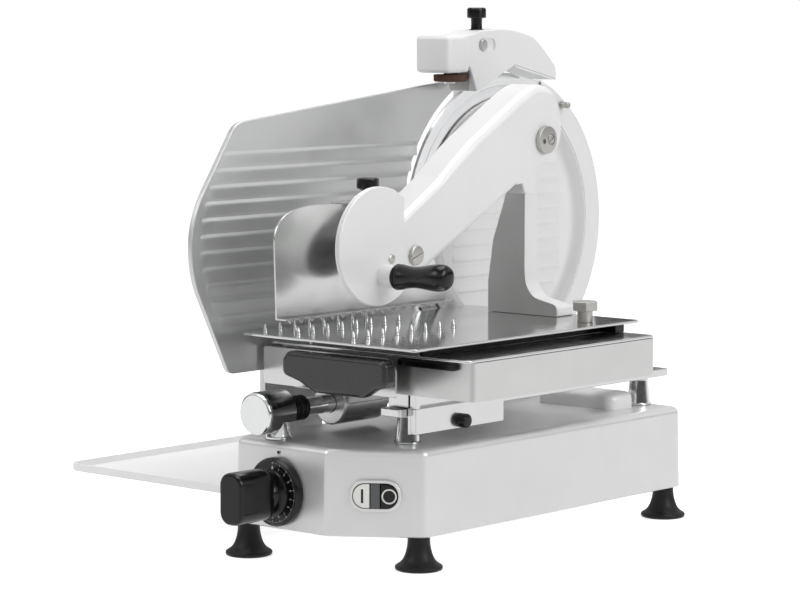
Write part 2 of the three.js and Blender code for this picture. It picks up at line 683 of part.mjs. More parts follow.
function motorBody() {
  const axis = [motor.y, motor.z];
  const bell = motor.radius - 4;
  const floor = base.bottom + cover.thickness + seat;
  const feetBlocks = [motor.left + motorFoot.inset, motor.right - motorFoot.inset - motorFoot.width].map((x) => block(
    [x, x + motorFoot.width], [motor.y - motorFoot.half, motor.y + motorFoot.half], [floor, floor + motorFoot.height]));
  return cut(
    join(...feetBlocks, revolve("x", axis, [
      [0, motor.left], [bell, motor.left], [motor.radius, motor.left + 6], [motor.radius, motor.right - 6],
      [bell, motor.right], [0, motor.right],
    ], round)),
    cylinder("x", axis, motor.left - overrun, motor.left + 2 * bell, motor.shaft + running, undefined, small));
}

function motorRotor() {
  const axis = [motor.y, motor.z];
  return join(
    cylinder("x", axis, belt.left, motor.left + motor.radius, motor.shaft, undefined, small),
    cylinder("x", axis, belt.left, beltRight, smallPulley.radius, undefined, round));
}

// Gauge plate and dial

function gaugePlate() {
  const back = gauge.face - gauge.rib - gauge.thickness;
  const outline = traced([gauge.front, gauge.rear, gauge.bottom, gauge.top], gauge.outlineShares);
  const sheet = extrude(outline, "x", back, gauge.face - gauge.rib, {
    edge: gauge.edge, facets: 5, edgeFacets: 1,
  });
  const ribs = [];
  for (let i = 0; i < gauge.ribCount; i += 1) {
    const z = gauge.ribFirst + i * gauge.ribPitch;
    const wedge = new THREE.Shape([
      new THREE.Vector2(gauge.face - gauge.rib - seat, z - gauge.ribWidth * gauge.ribRise),
      new THREE.Vector2(gauge.face, z),
      new THREE.Vector2(gauge.face - gauge.rib - seat, z + gauge.ribWidth * (1 - gauge.ribRise)),
    ]);
    ribs.push(extrude(wedge, "y", gaugeEdgeAt(z) + gauge.margin, blade.y));
  }
  const opening = cylinder("x", bladeCentre, back - overrun, gauge.face + overrun, ring.outer + gauge.gap,
    undefined, 2 * fine);
  return cut(join(sheet, ...ribs), opening);
}

// The front edge of the gauge plate at a height
function gaugeEdgeAt(z) {
  const bulge = (z - gauge.bulgeHeight) / gauge.bulgeSpan;
  return gauge.front + (bulge > 0 ? gauge.upperBulge : gauge.lowerBulge) * bulge * bulge;
}

function gaugeCarrier() {
  const back = gauge.face - gauge.rib - gauge.thickness - seat;
  const shape = rounded([
    [carrier.front, carrier.bottom], [carrier.rear, carrier.bottom], [carrier.rear, carrier.top - carrier.shoulder],
    [carrier.rear - carrier.neck, carrier.top], [carrier.front, carrier.top],
  ], carrier.corner);
  const upright = extrude(shape, "x", carrier.back, carrier.back + carrier.thickness, { facets: 3 });
  const pads = carrier.padHeights.map((z) => block(
    [carrier.back, back], [carrier.front + carrier.padInset, carrier.rear - carrier.neck],
    [z - carrier.padHalf, z + carrier.padHalf]));
  const tipX = dial.x - cam.smallest - running - slideBar.tip;
  const bar = join(
    cylinder("x", [slideBar.y, slideBar.z], carrier.back, tipX - slideBar.radius, slideBar.radius, undefined, small),
    cylinder("x", [slideBar.y, slideBar.z], tipX - slideBar.radius, tipX, slideBar.radius, slideBar.tip, small));
  const guide = cylinder("x", [guideBar.y, guideBar.z], carrier.back, guideBar.end, guideBar.radius, undefined, small);
  return join(upright, ...pads, bar, guide);
}

const dialFace = baseFront - seat;

function dialPlate() {
  return cut(
    revolve("y", [dial.x, dial.z], [
      [0, dialFace], [dial.radius, dialFace], [dial.radius, dialFace - dial.thickness + dial.edge],
      [dial.radius - dial.edge, dialFace - dial.thickness], [0, dialFace - dial.thickness],
    ], 32),
    cylinder("y", [dial.x, dial.z], dialFace - dial.thickness - overrun, dialFace + overrun,
      dialShaft.radius + seat, undefined, small));
}

function dialKnobSolid() {
  const near = dialFace - dial.thickness - seat;
  const outline = (grow) => rounded(rectangle(
    dial.x - dialKnob.width / 2 + grow, dial.x + dialKnob.width / 2 - grow,
    dial.z - dialKnob.height / 2 + grow, dial.z + dialKnob.height / 2 - grow), dialKnob.width / 2 - grow);
  const bar = extrude(outline(0), "y", near - dialKnob.length, near - 0.3 * dialKnob.length, {
    edge: 2.5, facets: 3, edgeFacets: 1,
  });
  const neck = extrude(outline(dialKnob.waist), "y", near - 0.5 * dialKnob.length, near, { facets: 3 });
  const skirt = cylinder("y", [dial.x, dial.z], near - 5, near, dial.hub + 10, undefined, round);
  const bore = cylinder("y", [dial.x, dial.z], near - dialKnob.neck, near + overrun,
    dialShaft.radius + seat, undefined, small);
  return cut(join(bar, neck, skirt), bore);
}

// The cam's radius grows steadily with the dial's turn, so that the gauge plate moves by its travel
function camRadius(angle) {
  const start = 180;
  const behind = (start - angle + 720) % 360;
  if (behind <= cam.sweep) return cam.smallest + gauge.travel * behind / cam.sweep;
  return cam.smallest + gauge.travel * (360 - behind) / (360 - cam.sweep);
}

function dialShaftSolid() {
  const front = dialFace - dial.thickness - seat - dialKnob.neck + seat;
  const shaftBody = cylinder("y", [dial.x, dial.z], front, dialShaft.rear, dialShaft.radius, undefined, small);
  const outline = [];
  for (let step = 0; step < 40; step += 1) {
    const angle = step * 9;
    const radius = camRadius(angle);
    outline.push(new THREE.Vector2(
      dial.x + radius * Math.cos(angle * degree), dial.z + radius * Math.sin(angle * degree)));
  }
  const spiral = extrude(new THREE.Shape(outline), "y", slideBar.y - cam.thickness / 2, slideBar.y + cam.thickness / 2);
  return join(shaftBody, spiral);
}

// Switch, in the chamfer's own frame: x along the chamfer, -y out of it

const buttonWidth = (switchPlate.width - 2 * switchPlate.border - switchPlate.lens) / 2;
const lensAt = -switchPlate.width / 2 + switchPlate.border + buttonWidth;

// An outline with round ends, seen from the front
const roundEnded = (width, height) =>
  rounded(rectangle(-width / 2, width / 2, -height / 2, height / 2), height / 2);

const wellWidth = switchPlate.bodyWidth - 2 * switchPlate.wall;
const wellHeight = switchPlate.bodyHeight - 2 * switchPlate.wall;

// A round ended solid of the switch, kept between two places along the chamfer
function switchPiece(width, height, [left, right], [front, rear], options) {
  const whole = extrude(roundEnded(width, height), "y", front, rear, { facets: 6, ...options });
  return whole.intersect(block([left, right], [front - overrun, rear + overrun], [-height, height]));
}

function switchFrame() {
  const bezel = extrude(roundEnded(switchPlate.width, switchPlate.height), "y", -switchPlate.proud, -seat, { facets: 6 });
  const body = extrude(
    roundEnded(switchPlate.bodyWidth, switchPlate.bodyHeight), "y", -seat - switchPlate.wall, switchPlate.bodyDepth,
    { facets: 6 });
  const well = (left, right, deep) => switchPiece(
    wellWidth, wellHeight, [left - seat, right + seat], [-switchPlate.proud - overrun, deep]);
  const pocketDepth = switchPlate.buttonDepth + 6;
  return cut(
    join(bezel, body),
    well(-wellWidth, lensAt - 2 * seat, pocketDepth),
    well(lensAt + 2 * seat, lensAt + switchPlate.lens - 2 * seat, 2),
    well(lensAt + switchPlate.lens + 2 * seat, wellWidth, pocketDepth));
}

function switchButton(left, right) {
  return switchPiece(
    wellWidth - 2 * running, wellHeight - 2 * running, [left, right],
    [-switchPlate.proud - switchPlate.buttonProud, switchPlate.buttonDepth], { edge: 0.8, edgeFacets: 1 });
}

function switchLens() {
  return block(
    [lensAt + 2 * seat, lensAt + switchPlate.lens - 2 * seat], [-switchPlate.proud - 0.8, 2 - seat],
    [-wellHeight / 2 + seat, wellHeight / 2 - seat]);
}

// Carriage

const boxPolygon = [
  [box.left, box.front + box.notchY], [box.left + box.notchX, box.front + box.notchY],
  [box.left + box.notchX, box.front], [box.right, box.front], [box.right, box.rear], [box.left, box.rear],
];

function carriageBox() {
  const wallInside = [
    [box.left + box.wall, box.front + box.notchY + box.wall],
    [box.left + box.notchX + box.wall, box.front + box.notchY + box.wall],
    [box.left + box.notchX + box.wall, box.front + box.wall],
    [box.right - box.wall, box.front + box.wall],
    [box.right - box.wall, box.rear - box.wall], [box.left + box.wall, box.rear - box.wall],
  ];
  const corners = [1, 1, 1, box.corner, box.corner, 1];
  const outside = extrude(rounded(boxPolygon, corners), "z", box.bottom, box.top);
  const inside = extrude(rounded(wallInside, corners.map((r) => Math.max(0.5, r - box.wall))), "z",
    box.bottom + box.wall, box.top + overrun);
  return cut(outside, inside);
}

const lidBottom = box.top + seat;
const lidTop = lidBottom + lid.thickness;

function carriageLid() {
  return extrude(
    rounded(rectangle(box.left, box.right, lid.front, box.rear), lid.corner), "z", lidBottom, lidTop,
    { edge: 0.8, edgeFacets: 1 });
}

function carriageFrontPlate() {
  const back = frontPlate.face + frontPlate.thickness;
  const sheet = extrude(
    rounded(rectangle(frontPlate.left, frontPlate.right, frontPlate.bottom, frontPlate.top),
      [3, 3, frontPlate.corner, 3]), "y", frontPlate.face, back, { facets: 5 });
  const spacers = frontPlate.spacerShare.map((share) => cylinder(
    "y", [frontPlate.left + share * (frontPlate.right - frontPlate.left), (frontPlate.bottom + frontPlate.top) / 2],
    back - 1, box.front - seat, frontPlate.spacer, undefined, small));
  return join(sheet, ...spacers);
}

function carriageHandle() {
  const bar = rounded([
    [handle.left, handle.bottom + 6], [handle.lowLeft, handle.bottom], [handle.tipLeft, handle.low],
    [handle.tipRight, handle.low], [handle.lowRight, handle.bottom], [handle.right, handle.bottom + 3],
    [handle.right, handle.top], [handle.left + 7, handle.top], [handle.left, handle.top - 9],
  ], [6, 0, 8, 8, 0, 8, 8, 8, 7]);
  const grip = extrude(bar, "y", handle.front, handle.front + handle.depth, {
    edge: handle.rounding, facets: 2, edgeFacets: 1,
  });
  const middle = (handle.bottom + handle.top) / 2;
  const lugs = handle.lugAt.map((x) => block(
    [x, x + handle.lug], [handle.front + handle.depth - 2, frontPlate.face - seat],
    [middle - handle.lugHeight / 2, middle + handle.lugHeight / 2]));
  return join(grip, ...lugs);
}

function blackGripBar() {
  return extrude(
    rounded(rectangle(gripBar.left, gripBar.right, gripBar.top - gripBar.height, gripBar.top), 2), "y",
    box.front - seat - gripBar.depth, box.front - seat, { edge: 1, facets: 2, edgeFacets: 1 });
}

function rodBearing() {
  const tube = cylinder("y", [rod.x, rod.z], sleeve.front, sleeve.rear, sleeve.radius);
  const saddle = block(
    [bearingBlock.saddleLeft, bearingBlock.saddleRight], [bearingBlock.front, sleeve.rear],
    [bearingBlock.saddleBottom, box.bottom - seat]);
  const cheek = block(
    [rod.x - sleeve.radius, rod.x + sleeve.radius], [sleeve.front, sleeve.rear], [rod.z, bearingBlock.saddleBottom + 1]);
  return cut(
    join(tube, saddle, cheek),
    cylinder("y", [rod.x, rod.z], sleeve.front - overrun, sleeve.rear + overrun, rod.radius + running));
}

function railBracket() {
  const top = box.bottom - seat;
  const outerPlate = block(
    [shoe.plate - shoe.plateThickness, shoe.plate], [shoe.front, shoe.rear], [shoe.bottom, shoe.plateTop]);
  const web = block([shoe.web, shoe.plate - shoe.plateThickness], [shoe.front, shoe.rear], [shoe.bottom, top]);
  const slider = block(
    [shoe.left, shoe.web], [shoe.front, shoe.rear], [rail.bottom + rail.thickness + running, top]);
  const strip = block(
    [shoe.web, shoe.plate], [shoe.front, shoe.front + shoe.strip], [shoe.plateTop, top]);
  const hole = cylinder("x", [lockKnob.y, lockKnob.z], shoe.web - overrun, shoe.plate + overrun,
    lockKnob.screw + running, undefined, small);
  return cut(join(outerPlate, web, slider, strip), hole);
}

function lockKnobSolid() {
  const at = [lockKnob.y, lockKnob.z];
  return join(
    revolve("x", at, [
      [0, shoe.plate + seat], [lockKnob.radius, shoe.plate + seat],
      [lockKnob.radius, shoe.plate + lockKnob.head - 2], [lockKnob.radius - 2, shoe.plate + lockKnob.head],
      [0, shoe.plate + lockKnob.head],
    ], 20),
    cylinder("x", at, shoe.web + 0.2, shoe.plate + 1, lockKnob.screw, undefined, small));
}

// Table

const tableBottom = table.top - table.thickness;

function meatTable() {
  const sheet = extrude(
    rounded(rectangle(table.left, table.right, table.front, table.rear), table.corner), "z",
    tableBottom, table.top, { edge: 0.7, edgeFacets: 1 });
  const spikes = spike.rows.flatMap(([x, first]) =>
    Array.from({ length: spike.count }, (_, i) => cylinder(
      "z", [x, first + i * spike.pitch], table.top - 1, table.top + spike.height, spike.radius, 0, 4)));
  const peg = cylinder("z", [table.pegX, table.pegY], lidTop + seat, tableBottom + 1, table.peg, undefined, small);
  const farPeg = cylinder("z", [table.pegX, -table.pegY / 2], lidTop + seat, tableBottom + 1, table.peg,
    undefined, small);
  return join(sheet, peg, farPeg, ...spikes);
}

function tableBand() {
  const [bottom, top] = [lidTop + seat, tableBottom - seat];
  return join(
    block([band.left, band.right], [band.front + 6, band.rear - band.blockLength], [bottom, top]),
    block([band.blockLeft, band.blockRight], [band.rear - band.blockLength, band.rear], [bottom, top]));
}

function meatWall() {
  const ground = table.top + seat;
  const outline = traced([wallPost.left, wallPost.right, ground, wallPost.top], wallPost.outlineShares);
  const wall = extrude(outline, "y", wallPost.face, wallPost.face + wallPost.depth, { facets: 5 });
  const foot = block(
    [wallPost.left, wallPost.right], [wallPost.face, wallPost.face + wallPost.footDepth],
    [ground, ground + wallPost.footHeight]);
  const boss = cylinder("x", [pivot.y, pivot.z], wallPost.bossLeft, arm.face - arm.plate - seat, pivot.boss);
  const bore = cylinder("x", [pivot.y, pivot.z], 2 * wallPost.bossLeft, arm.face + overrun, pivot.pin + running);
  const behindBoss = block(
    [2 * wallPost.bossLeft, arm.face], [pivot.y + pivot.boss, pivot.y + 2 * pivot.boss],
    [pivot.z - pivot.boss, pivot.z + 2 * pivot.boss]);
  return cut(join(cut(wall, behindBoss), foot, boss), bore);
}

function hexStopBolt() {
  const bottom = table.top + seat;
  const at = [stopBolt.x, stopBolt.y];
  return join(
    cylinder("z", at, bottom, stopBolt.top, stopBolt.stem, undefined, small),
    cylinder("z", at, stopBolt.top - stopBolt.hex, stopBolt.top, stopBolt.across / Math.sqrt(3), undefined, 6));
}

// Press arm

function pressArm() {
  const outline = traced([arm.front, arm.rear, arm.bottom, arm.top], arm.outlineShares);
  const outside = extrude(outline, "x", arm.back, arm.face, { edge: arm.edge, facets: 3, edgeFacets: 1 });
  const shrink = 1 - arm.rim / arm.half;
  const hollow = extrude(outline, "x", arm.back - overrun, arm.face - arm.plate, { facets: 3 }).warp((vertex) => {
    const [y, z] = nearestOnArmLine(vertex[1], vertex[2]);
    vertex[1] = y + (vertex[1] - y) * shrink;
    vertex[2] = z + (vertex[2] - z) * shrink;
  });
  const mouth = block(
    [arm.back - overrun, arm.face - arm.plate], [arm.mouthFront, arm.mouthRear], [arm.mouthBottom, arm.mouthTop]);
  const pivotBore = cylinder("x", [pivot.y, pivot.z], arm.back - overrun, arm.face + overrun, pivot.pin + seat);
  const pinBore = cylinder("x", [lowerPin.y, lowerPin.z], arm.back - overrun, arm.face + overrun,
    lowerPin.shank + seat, undefined, small);
  const rivetBoss = cylinder("x", [guard.rivetY, guard.rivetZ], arm.face - arm.edge, guard.near - seat,
    2 * guard.rivet, undefined, small);
  return cut(join(cut(outside, hollow, mouth), rivetBoss), pivotBore, pinBore);
}

// The nearest point of the line that runs along the middle of the arm
function nearestOnArmLine(y, z) {
  const [y0, z0] = arm.lowEnd;
  const [y1, z1] = arm.highEnd;
  const square = (y1 - y0) ** 2 + (z1 - z0) ** 2;
  const along = Math.min(1, Math.max(0, ((y - y0) * (y1 - y0) + (z - z0) * (z1 - z0)) / square));
  return [y0 + along * (y1 - y0), z0 + along * (z1 - z0)];
}

function pivotBolt() {
  const at = [pivot.y, pivot.z];
  const face = arm.face + seat;
  return revolve("x", at, [
    [0, pivot.left], [pivot.pin, pivot.left], [pivot.pin, face], [pivot.head, face],
    [pivot.head, face + pivot.headWidth - 1.5], [pivot.head - 2, face + pivot.headWidth],
    [0, face + pivot.headWidth],
  ]);
}

function lowerScrew() {
  const face = arm.face + seat;
  return revolve("x", [lowerPin.y, lowerPin.z], [
    [0, 0], [lowerPin.shank, 0], [lowerPin.shank, face], [lowerPin.head, face],
    [lowerPin.head, face + lowerPin.headWidth - 1], [lowerPin.head - 1.5, face + lowerPin.headWidth],
    [0, face + lowerPin.headWidth],
  ], 16);
}

function handGuard() {
  const disc = revolve("x", [guard.y, guard.z], [
    [0, guard.near], [guard.radius - guard.cup, guard.near], [guard.radius, guard.near - guard.cup / 2],
    [guard.radius, guard.near - guard.cup / 2 + guard.thickness],
    [guard.radius - guard.cup, guard.near + guard.thickness], [0, guard.near + guard.thickness],
  ], 36);
  const edge = block(
    [guard.near - 20, guard.near + 20], [guard.cut, guard.cut + guard.radius],
    [guard.z - guard.radius, guard.z + guard.radius]);
  const rivet = cylinder("x", [guard.rivetY, guard.rivetZ], guard.near, guard.near + guard.thickness + 1.5,
    guard.rivet, undefined, small);
  const boss = cylinder("x", [grip.y, grip.z], guard.near, grip.start - seat, grip.boss, undefined, round);
  return join(cut(disc, edge), rivet, boss);
}

function armGrip() {
  const end = grip.start + grip.length;
  const handleBody = revolve("x", [grip.y, grip.z], [
    [0, grip.start], [grip.radius - 1, grip.start], [grip.radius, grip.start + 2],
    [grip.radius, grip.start + 0.08 * grip.length], [grip.neck, grip.start + 0.32 * grip.length],
    [grip.neck + 0.4, grip.start + 0.45 * grip.length], [grip.radius, grip.start + 0.72 * grip.length],
    [grip.radius + 0.3, grip.start + 0.82 * grip.length], [grip.radius - 2.2, grip.start + 0.94 * grip.length],
    [grip.radius - 7, end], [0, end],
  ], round);
  return handleBody.warp((vertex) => {
    vertex[2] += grip.rise * (vertex[0] - grip.start) / grip.length;
  });
}

function pressPlate() {
  const back = press.face - press.thickness;
  const outline = traced([press.left, press.rear, press.bottom, press.top], press.outlineShares);
  const sheet = extrude(outline, "x", back, press.face, { facets: 5 });
  const ledgeTop = press.bottom + press.ledgeThickness;
  const ledge = block(
    [press.face - press.thickness / 2, press.face + press.ledge], [press.front, press.rear], [press.bottom, ledgeTop]);
  const teeth = [];
  const count = Math.floor((press.rear - press.front) / press.toothPitch);
  const half = press.toothPitch / 3;
  for (let i = 0; i < count; i += 1) {
    const y = press.front + (i + 1 / 2) * press.toothPitch;
    const tooth = new THREE.Shape([
      new THREE.Vector2(y - half, ledgeTop - press.ledgeThickness / 2),
      new THREE.Vector2(y, press.bottom + press.ledgeThickness / 2 - press.tooth),
      new THREE.Vector2(y + half, ledgeTop - press.ledgeThickness / 2),
    ]);
    const rim = press.face + press.ledge;
    teeth.push(extrude(tooth, "x", rim - press.toothThickness, rim));
  }
  const at = [lowerPin.y, lowerPin.z];
  const hub = cylinder("x", at, press.face - 1, arm.face - arm.plate - seat, lowerPin.hub, undefined, round);
  const hubBore = cylinder("x", at, -seat, arm.face + overrun, lowerPin.shank + seat, undefined, small);
  const shelfTop = clampKnob.bottom - seat;
  const shelfPlate = block(
    [press.face - 1, press.face + shelf.reach], [shelf.front, shelf.rear], [shelfTop - shelf.thickness, shelfTop]);
  const tab = block([back, press.face], [shelf.front, shelf.rear], [shelfTop - 3 * press.ledge, shelfTop]);
  const studHole = cylinder("z", [clampKnob.x, clampKnob.y], shelfTop - shelf.thickness - overrun, shelfTop + overrun,
    clampKnob.stud + seat, undefined, small);
  return cut(join(sheet, ledge, hub, tab, shelfPlate, ...teeth), hubBore, studHole);
}

function clampKnobSolid() {
  const headBottom = clampKnob.top - clampKnob.headHeight;
  return revolve("z", [clampKnob.x, clampKnob.y], [
    [0, clampKnob.bottom - clampKnob.studLength], [clampKnob.stud, clampKnob.bottom - clampKnob.studLength],
    [clampKnob.stud, clampKnob.bottom], [clampKnob.foot, clampKnob.bottom], [clampKnob.neck, headBottom],
    [clampKnob.head - 1, headBottom], [clampKnob.head, headBottom + 1], [clampKnob.head, clampKnob.top - 2],
    [clampKnob.head - 2, clampKnob.top], [0, clampKnob.top],
  ]);
}

// Sharpener

function sharpenerBody() {
  const outline = traced([hood.near, hood.far, hood.bottom, hood.top], hood.outlineShares);
  const shell = extrude(outline, "x", sharpener.back, sharpener.front, {
    edge: sharpener.rounding, facets: 3, edgeFacets: 1,
  });
  const bridge = block(
    [sharpener.bridgeBack, sharpener.back + overrun], [sharpener.bridgeFront, sharpener.bridgeRear],
    [sharpener.bridgeBottom, column.pinTop + overrun]);
  const endBlock = block(
    [sharpener.endBack, sharpener.front - sharpener.rounding], [hood.near, sharpener.endRear],
    [sharpener.endBottom, sharpener.endTop]);
  const pinBore = cylinder("z", [(column.front + column.rear) / 2, column.y], sharpener.bridgeBottom - overrun,
    hood.top, column.pin + running, undefined, small);
  const pocket = (disc, deep) => cylinder(
    "z", [disc.x, disc.y], disc.z - 2 * disc.radius, disc.z + disc.thickness / 2 + deep, disc.radius + stoneRoom);
  const knobSeat = cylinder("z", [sharpKnob.x, sharpKnob.y], sharpKnob.seat, sharpKnob.seat + 2 * overrun,
    sharpKnob.collar + running);
  const open = cut(join(shell, bridge, endBlock), pinBore, knobSeat, pocket(stone, stonePocket), pocket(fineStone, stonePocket));
  const spindle = (disc) => {
    const at = [disc.x, disc.y];
    const under = disc.z - disc.thickness / 2 - running;
    return join(
      cylinder("z", at, under - 1, sharpener.spindleTop, disc.spindle, undefined, small),
      cylinder("z", at, under - stoneWasher, under, disc.spindle + 3, undefined, small));
  };
  return join(open, spindle(stone), spindle(fineStone));
}

function grindingStone({ x, y, z, radius, thickness, spindle }) {
  const bore = spindle + running;
  const top = z + thickness / 2;
  const bottom = z - thickness / 2;
  return revolve("z", [x, y], [
    [bore, bottom], [radius, bottom], [radius, top], [bore + 3, top], [bore + 3, top + 2], [bore, top + 2],
    [bore, bottom],
  ]);
}

function sharpenerKnobSolid() {
  const bottom = sharpKnob.seat + seat;
  return revolve("z", [sharpKnob.x, sharpKnob.y], [
    [0, bottom], [sharpKnob.collar, bottom], [sharpKnob.collar, bottom + sharpKnob.collarHeight],
    [sharpKnob.neck, bottom + sharpKnob.collarHeight],
    [sharpKnob.neck, bottom + sharpKnob.collarHeight + sharpKnob.neckHeight],
    [sharpKnob.head, bottom + sharpKnob.collarHeight + sharpKnob.neckHeight + 1],
    [sharpKnob.head, bottom + sharpKnob.collarHeight + sharpKnob.neckHeight + sharpKnob.headHeight - 3],
    [sharpKnob.head - 2, bottom + sharpKnob.collarHeight + sharpKnob.neckHeight + sharpKnob.headHeight],
    [0, bottom + sharpKnob.collarHeight + sharpKnob.neckHeight + sharpKnob.headHeight],
  ], 16);
}

// Slice tray, with a notch that the gauge plate's carrier moves in

function receivingTray() {
  const right = baseLeft - seat;
  const notchLeft = carrier.back - gauge.travel - sliceTray.notchRoom;
  const notchFront = carrier.front - sliceTray.notchRoom;
  const notchRear = carrier.rear + sliceTray.notchRoom;
  const rear = head.columnFront - sliceTray.notchRoom;
  const outline = [
    [sliceTray.left, sliceTray.front], [right, sliceTray.front], [right, notchFront], [notchLeft, notchFront],
    [notchLeft, notchRear], [right, notchRear], [right, rear], [sliceTray.left, rear],
  ];
  const corners = outline.map(([x]) => (x === sliceTray.left ? sliceTray.corner : 0));
  const rimTop = sliceTray.bottom + sliceTray.rim;
  const flange = block(
    [right - sliceTray.sheet, right], [sliceTray.front, notchFront], [sliceTray.bottom, rimTop + sliceTray.flange]);
  return join(
    cut(
      extrude(rounded(outline, corners), "z", sliceTray.bottom, rimTop),
      extrude(rounded(inset(outline, sliceTray.sheet), corners.map((r) => Math.max(0, r - sliceTray.sheet))), "z",
        sliceTray.bottom + sliceTray.sheet, rimTop + overrun)),
    flange);
}

// Assembly: the fixed machine

place(slicer, "base_housing", baseHousing(), baseMetal);
place(slicer, "bottom_cover", bottomCover(), brushed);
Object.entries(feet).forEach(([name, at]) => place(slicer, name, rubberFoot(at), rubber));
place(slicer, "cable_gland", cableGland(), black);
place(slicer, "post_front_right", conePost(railMiddle, post.railFront, railPostTop), chrome);
place(slicer, "post_rear_right", conePost(railMiddle, postRear, railPostTop), chrome);
place(slicer, "post_front_left", conePost(rod.x, postFront, rodPostTop), chrome);
place(slicer, "post_rear_left", conePost(rod.x, postRear, rodPostTop), chrome);
place(slicer, "flat_rail", flatRail(), steel);
place(slicer, "guide_rod", guideRod(), chrome);
place(slicer, "rod_cap_front", rodEnd(-1), chrome);
place(slicer, "rod_cap_rear", rodEnd(1), chrome);
place(slicer, "rod_bumper", rodBumper(), rubber);
place(slicer, "ring_guard", ringGuard(), castPaint);
place(slicer, "blade_cover", bladeCover(), castPaint);
place(slicer, "head_casting", headCasting(), castPaint);
place(slicer, "head_rear_cover", headRearCover(), castPaint);
place(slicer, "bearing_housing", bearingHousing(), brushed);
place(slicer, "drive_belt", driveBelt(), rubber);
place(slicer, "motor_body", motorBody(), castPaint);
place(slicer, "receiving_tray", receivingTray(), steel);

const bladeBody = bodyOf(slicer, "blade_rotor", bladeBack, blade.y, blade.z);
place(bladeBody, "blade", knife(), bladeSteel);
place(bladeBody, "blade_shaft", bladeShaft(), brushed);

const motorBodyGroup = bodyOf(slicer, "motor_rotor_body", belt.left, motor.y, motor.z);
place(motorBodyGroup, "motor_rotor", motorRotor(), brushed);

const dialBody = bodyOf(slicer, "dial", dial.x, dialFace, dial.z);
place(dialBody, "dial_plate", dialPlate(), black);
place(dialBody, "dial_knob", dialKnobSolid(), black);
place(dialBody, "dial_shaft", dialShaftSolid(), brushed);

const gaugeBody = bodyOf(slicer, "gauge", gauge.face, slideBar.y, slideBar.z);
place(gaugeBody, "gauge_plate", gaugePlate(), brushed);
place(gaugeBody, "gauge_carrier", gaugeCarrier(), castPaint);

const switchGroup = bodyOf(slicer, "switch", 0, 0, 0);
place(switchGroup, "switch_frame", ontoChamfer(switchFrame()), black);
place(switchGroup, "switch_lens", ontoChamfer(switchLens()), smoked);
place(switchGroup, "button_on", ontoChamfer(switchButton(
  -wellWidth, lensAt - 2 * seat - running)), ivory);
place(switchGroup, "button_off", ontoChamfer(switchButton(
  lensAt + switchPlate.lens + 2 * seat + running, wellWidth)), black);

// Carriage, and what rides on it

const carriage = bodyOf(slicer, "carriage", rod.x, sleeve.front, rod.z);
place(carriage, "carriage_box", carriageBox(), steel);
place(carriage, "carriage_lid", carriageLid(), steel);
place(carriage, "front_plate", carriageFrontPlate(), steel);
place(carriage, "carriage_handle", carriageHandle(), black);
place(carriage, "grip_bar", blackGripBar(), black);
place(carriage, "rod_bearing", rodBearing(), brushed);
place(carriage, "rail_bracket", railBracket(), brushed);

const lockBody = bodyOf(carriage, "lock", shoe.plate, lockKnob.y, lockKnob.z);
place(lockBody, "lock_knob", lockKnobSolid(), black);

const tableBody = bodyOf(carriage, "table", 0, 0, table.top);
place(tableBody, "meat_table", meatTable(), steel);
place(tableBody, "table_band", tableBand(), black);
place(tableBody, "meat_wall", meatWall(), brushed);
place(tableBody, "stop_bolt", hexStopBolt(), chrome);

const armBody = bodyOf(tableBody, "press_arm_body", arm.face, pivot.y, pivot.z);
place(armBody, "press_arm", pressArm(), castPaint);
place(armBody, "arm_pivot_bolt", pivotBolt(), chrome);
place(armBody, "arm_lower_screw", lowerScrew(), chrome);
place(armBody, "hand_guard", handGuard(), castPaint);
place(armBody, "arm_grip", armGrip(), black);
place(armBody, "press_plate", pressPlate(), steel);

const clampBody = bodyOf(armBody, "clamp", clampKnob.x, clampKnob.y, clampKnob.bottom);
place(clampBody, "clamp_knob", clampKnobSolid(), black);

// Sharpener

const sharpenerGroup = bodyOf(slicer, "sharpener", sharpener.back, column.y, sharpener.bridgeBottom);
place(sharpenerGroup, "sharpener_body", sharpenerBody(), castPaint);
place(sharpenerGroup, "sharpening_stone", grindingStone(stone), stoneBrown);
place(sharpenerGroup, "deburring_stone", grindingStone(fineStone), stoneBrown);
place(sharpenerGroup, "sharpener_knob", sharpenerKnobSolid(), black);

// The origin is the middle of the model's footprint, on the surface that the feet stand on
slicer.updateMatrixWorld(true);
const bounds = new THREE.Box3().setFromObject(slicer, true);
const middle = bounds.getCenter(new THREE.Vector3());
slicer.position.set(-middle.x, -middle.y, -bounds.min.z);

export default slicer;
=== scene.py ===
from math import acos, atan2, cos, pi, sin, sqrt, tan

import bmesh
import bpy
from mathutils import Matrix, Vector


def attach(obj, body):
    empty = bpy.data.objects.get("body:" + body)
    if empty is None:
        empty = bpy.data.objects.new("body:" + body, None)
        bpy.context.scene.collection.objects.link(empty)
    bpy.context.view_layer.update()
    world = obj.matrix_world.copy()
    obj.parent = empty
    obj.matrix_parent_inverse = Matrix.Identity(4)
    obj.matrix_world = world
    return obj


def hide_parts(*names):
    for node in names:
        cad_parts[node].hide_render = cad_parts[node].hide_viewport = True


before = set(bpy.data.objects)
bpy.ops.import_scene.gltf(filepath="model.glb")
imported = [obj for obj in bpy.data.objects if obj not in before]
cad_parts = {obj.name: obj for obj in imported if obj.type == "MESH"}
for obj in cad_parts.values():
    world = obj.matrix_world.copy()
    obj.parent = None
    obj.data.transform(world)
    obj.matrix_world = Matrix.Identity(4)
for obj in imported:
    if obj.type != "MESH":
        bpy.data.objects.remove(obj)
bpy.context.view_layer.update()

# The machine's own frame, in millimetres, and where it lies in the row's frame
MACHINE = Vector((100, -28.2, 0))
MM = 0.001
DEGREE = pi / 180
TO_MACHINE = {
    "x": lambda u, v, w: Vector((w, u, v)),
    "y": lambda u, v, w: Vector((u, w, v)),
    "z": lambda u, v, w: Vector((u, v, w)),
}

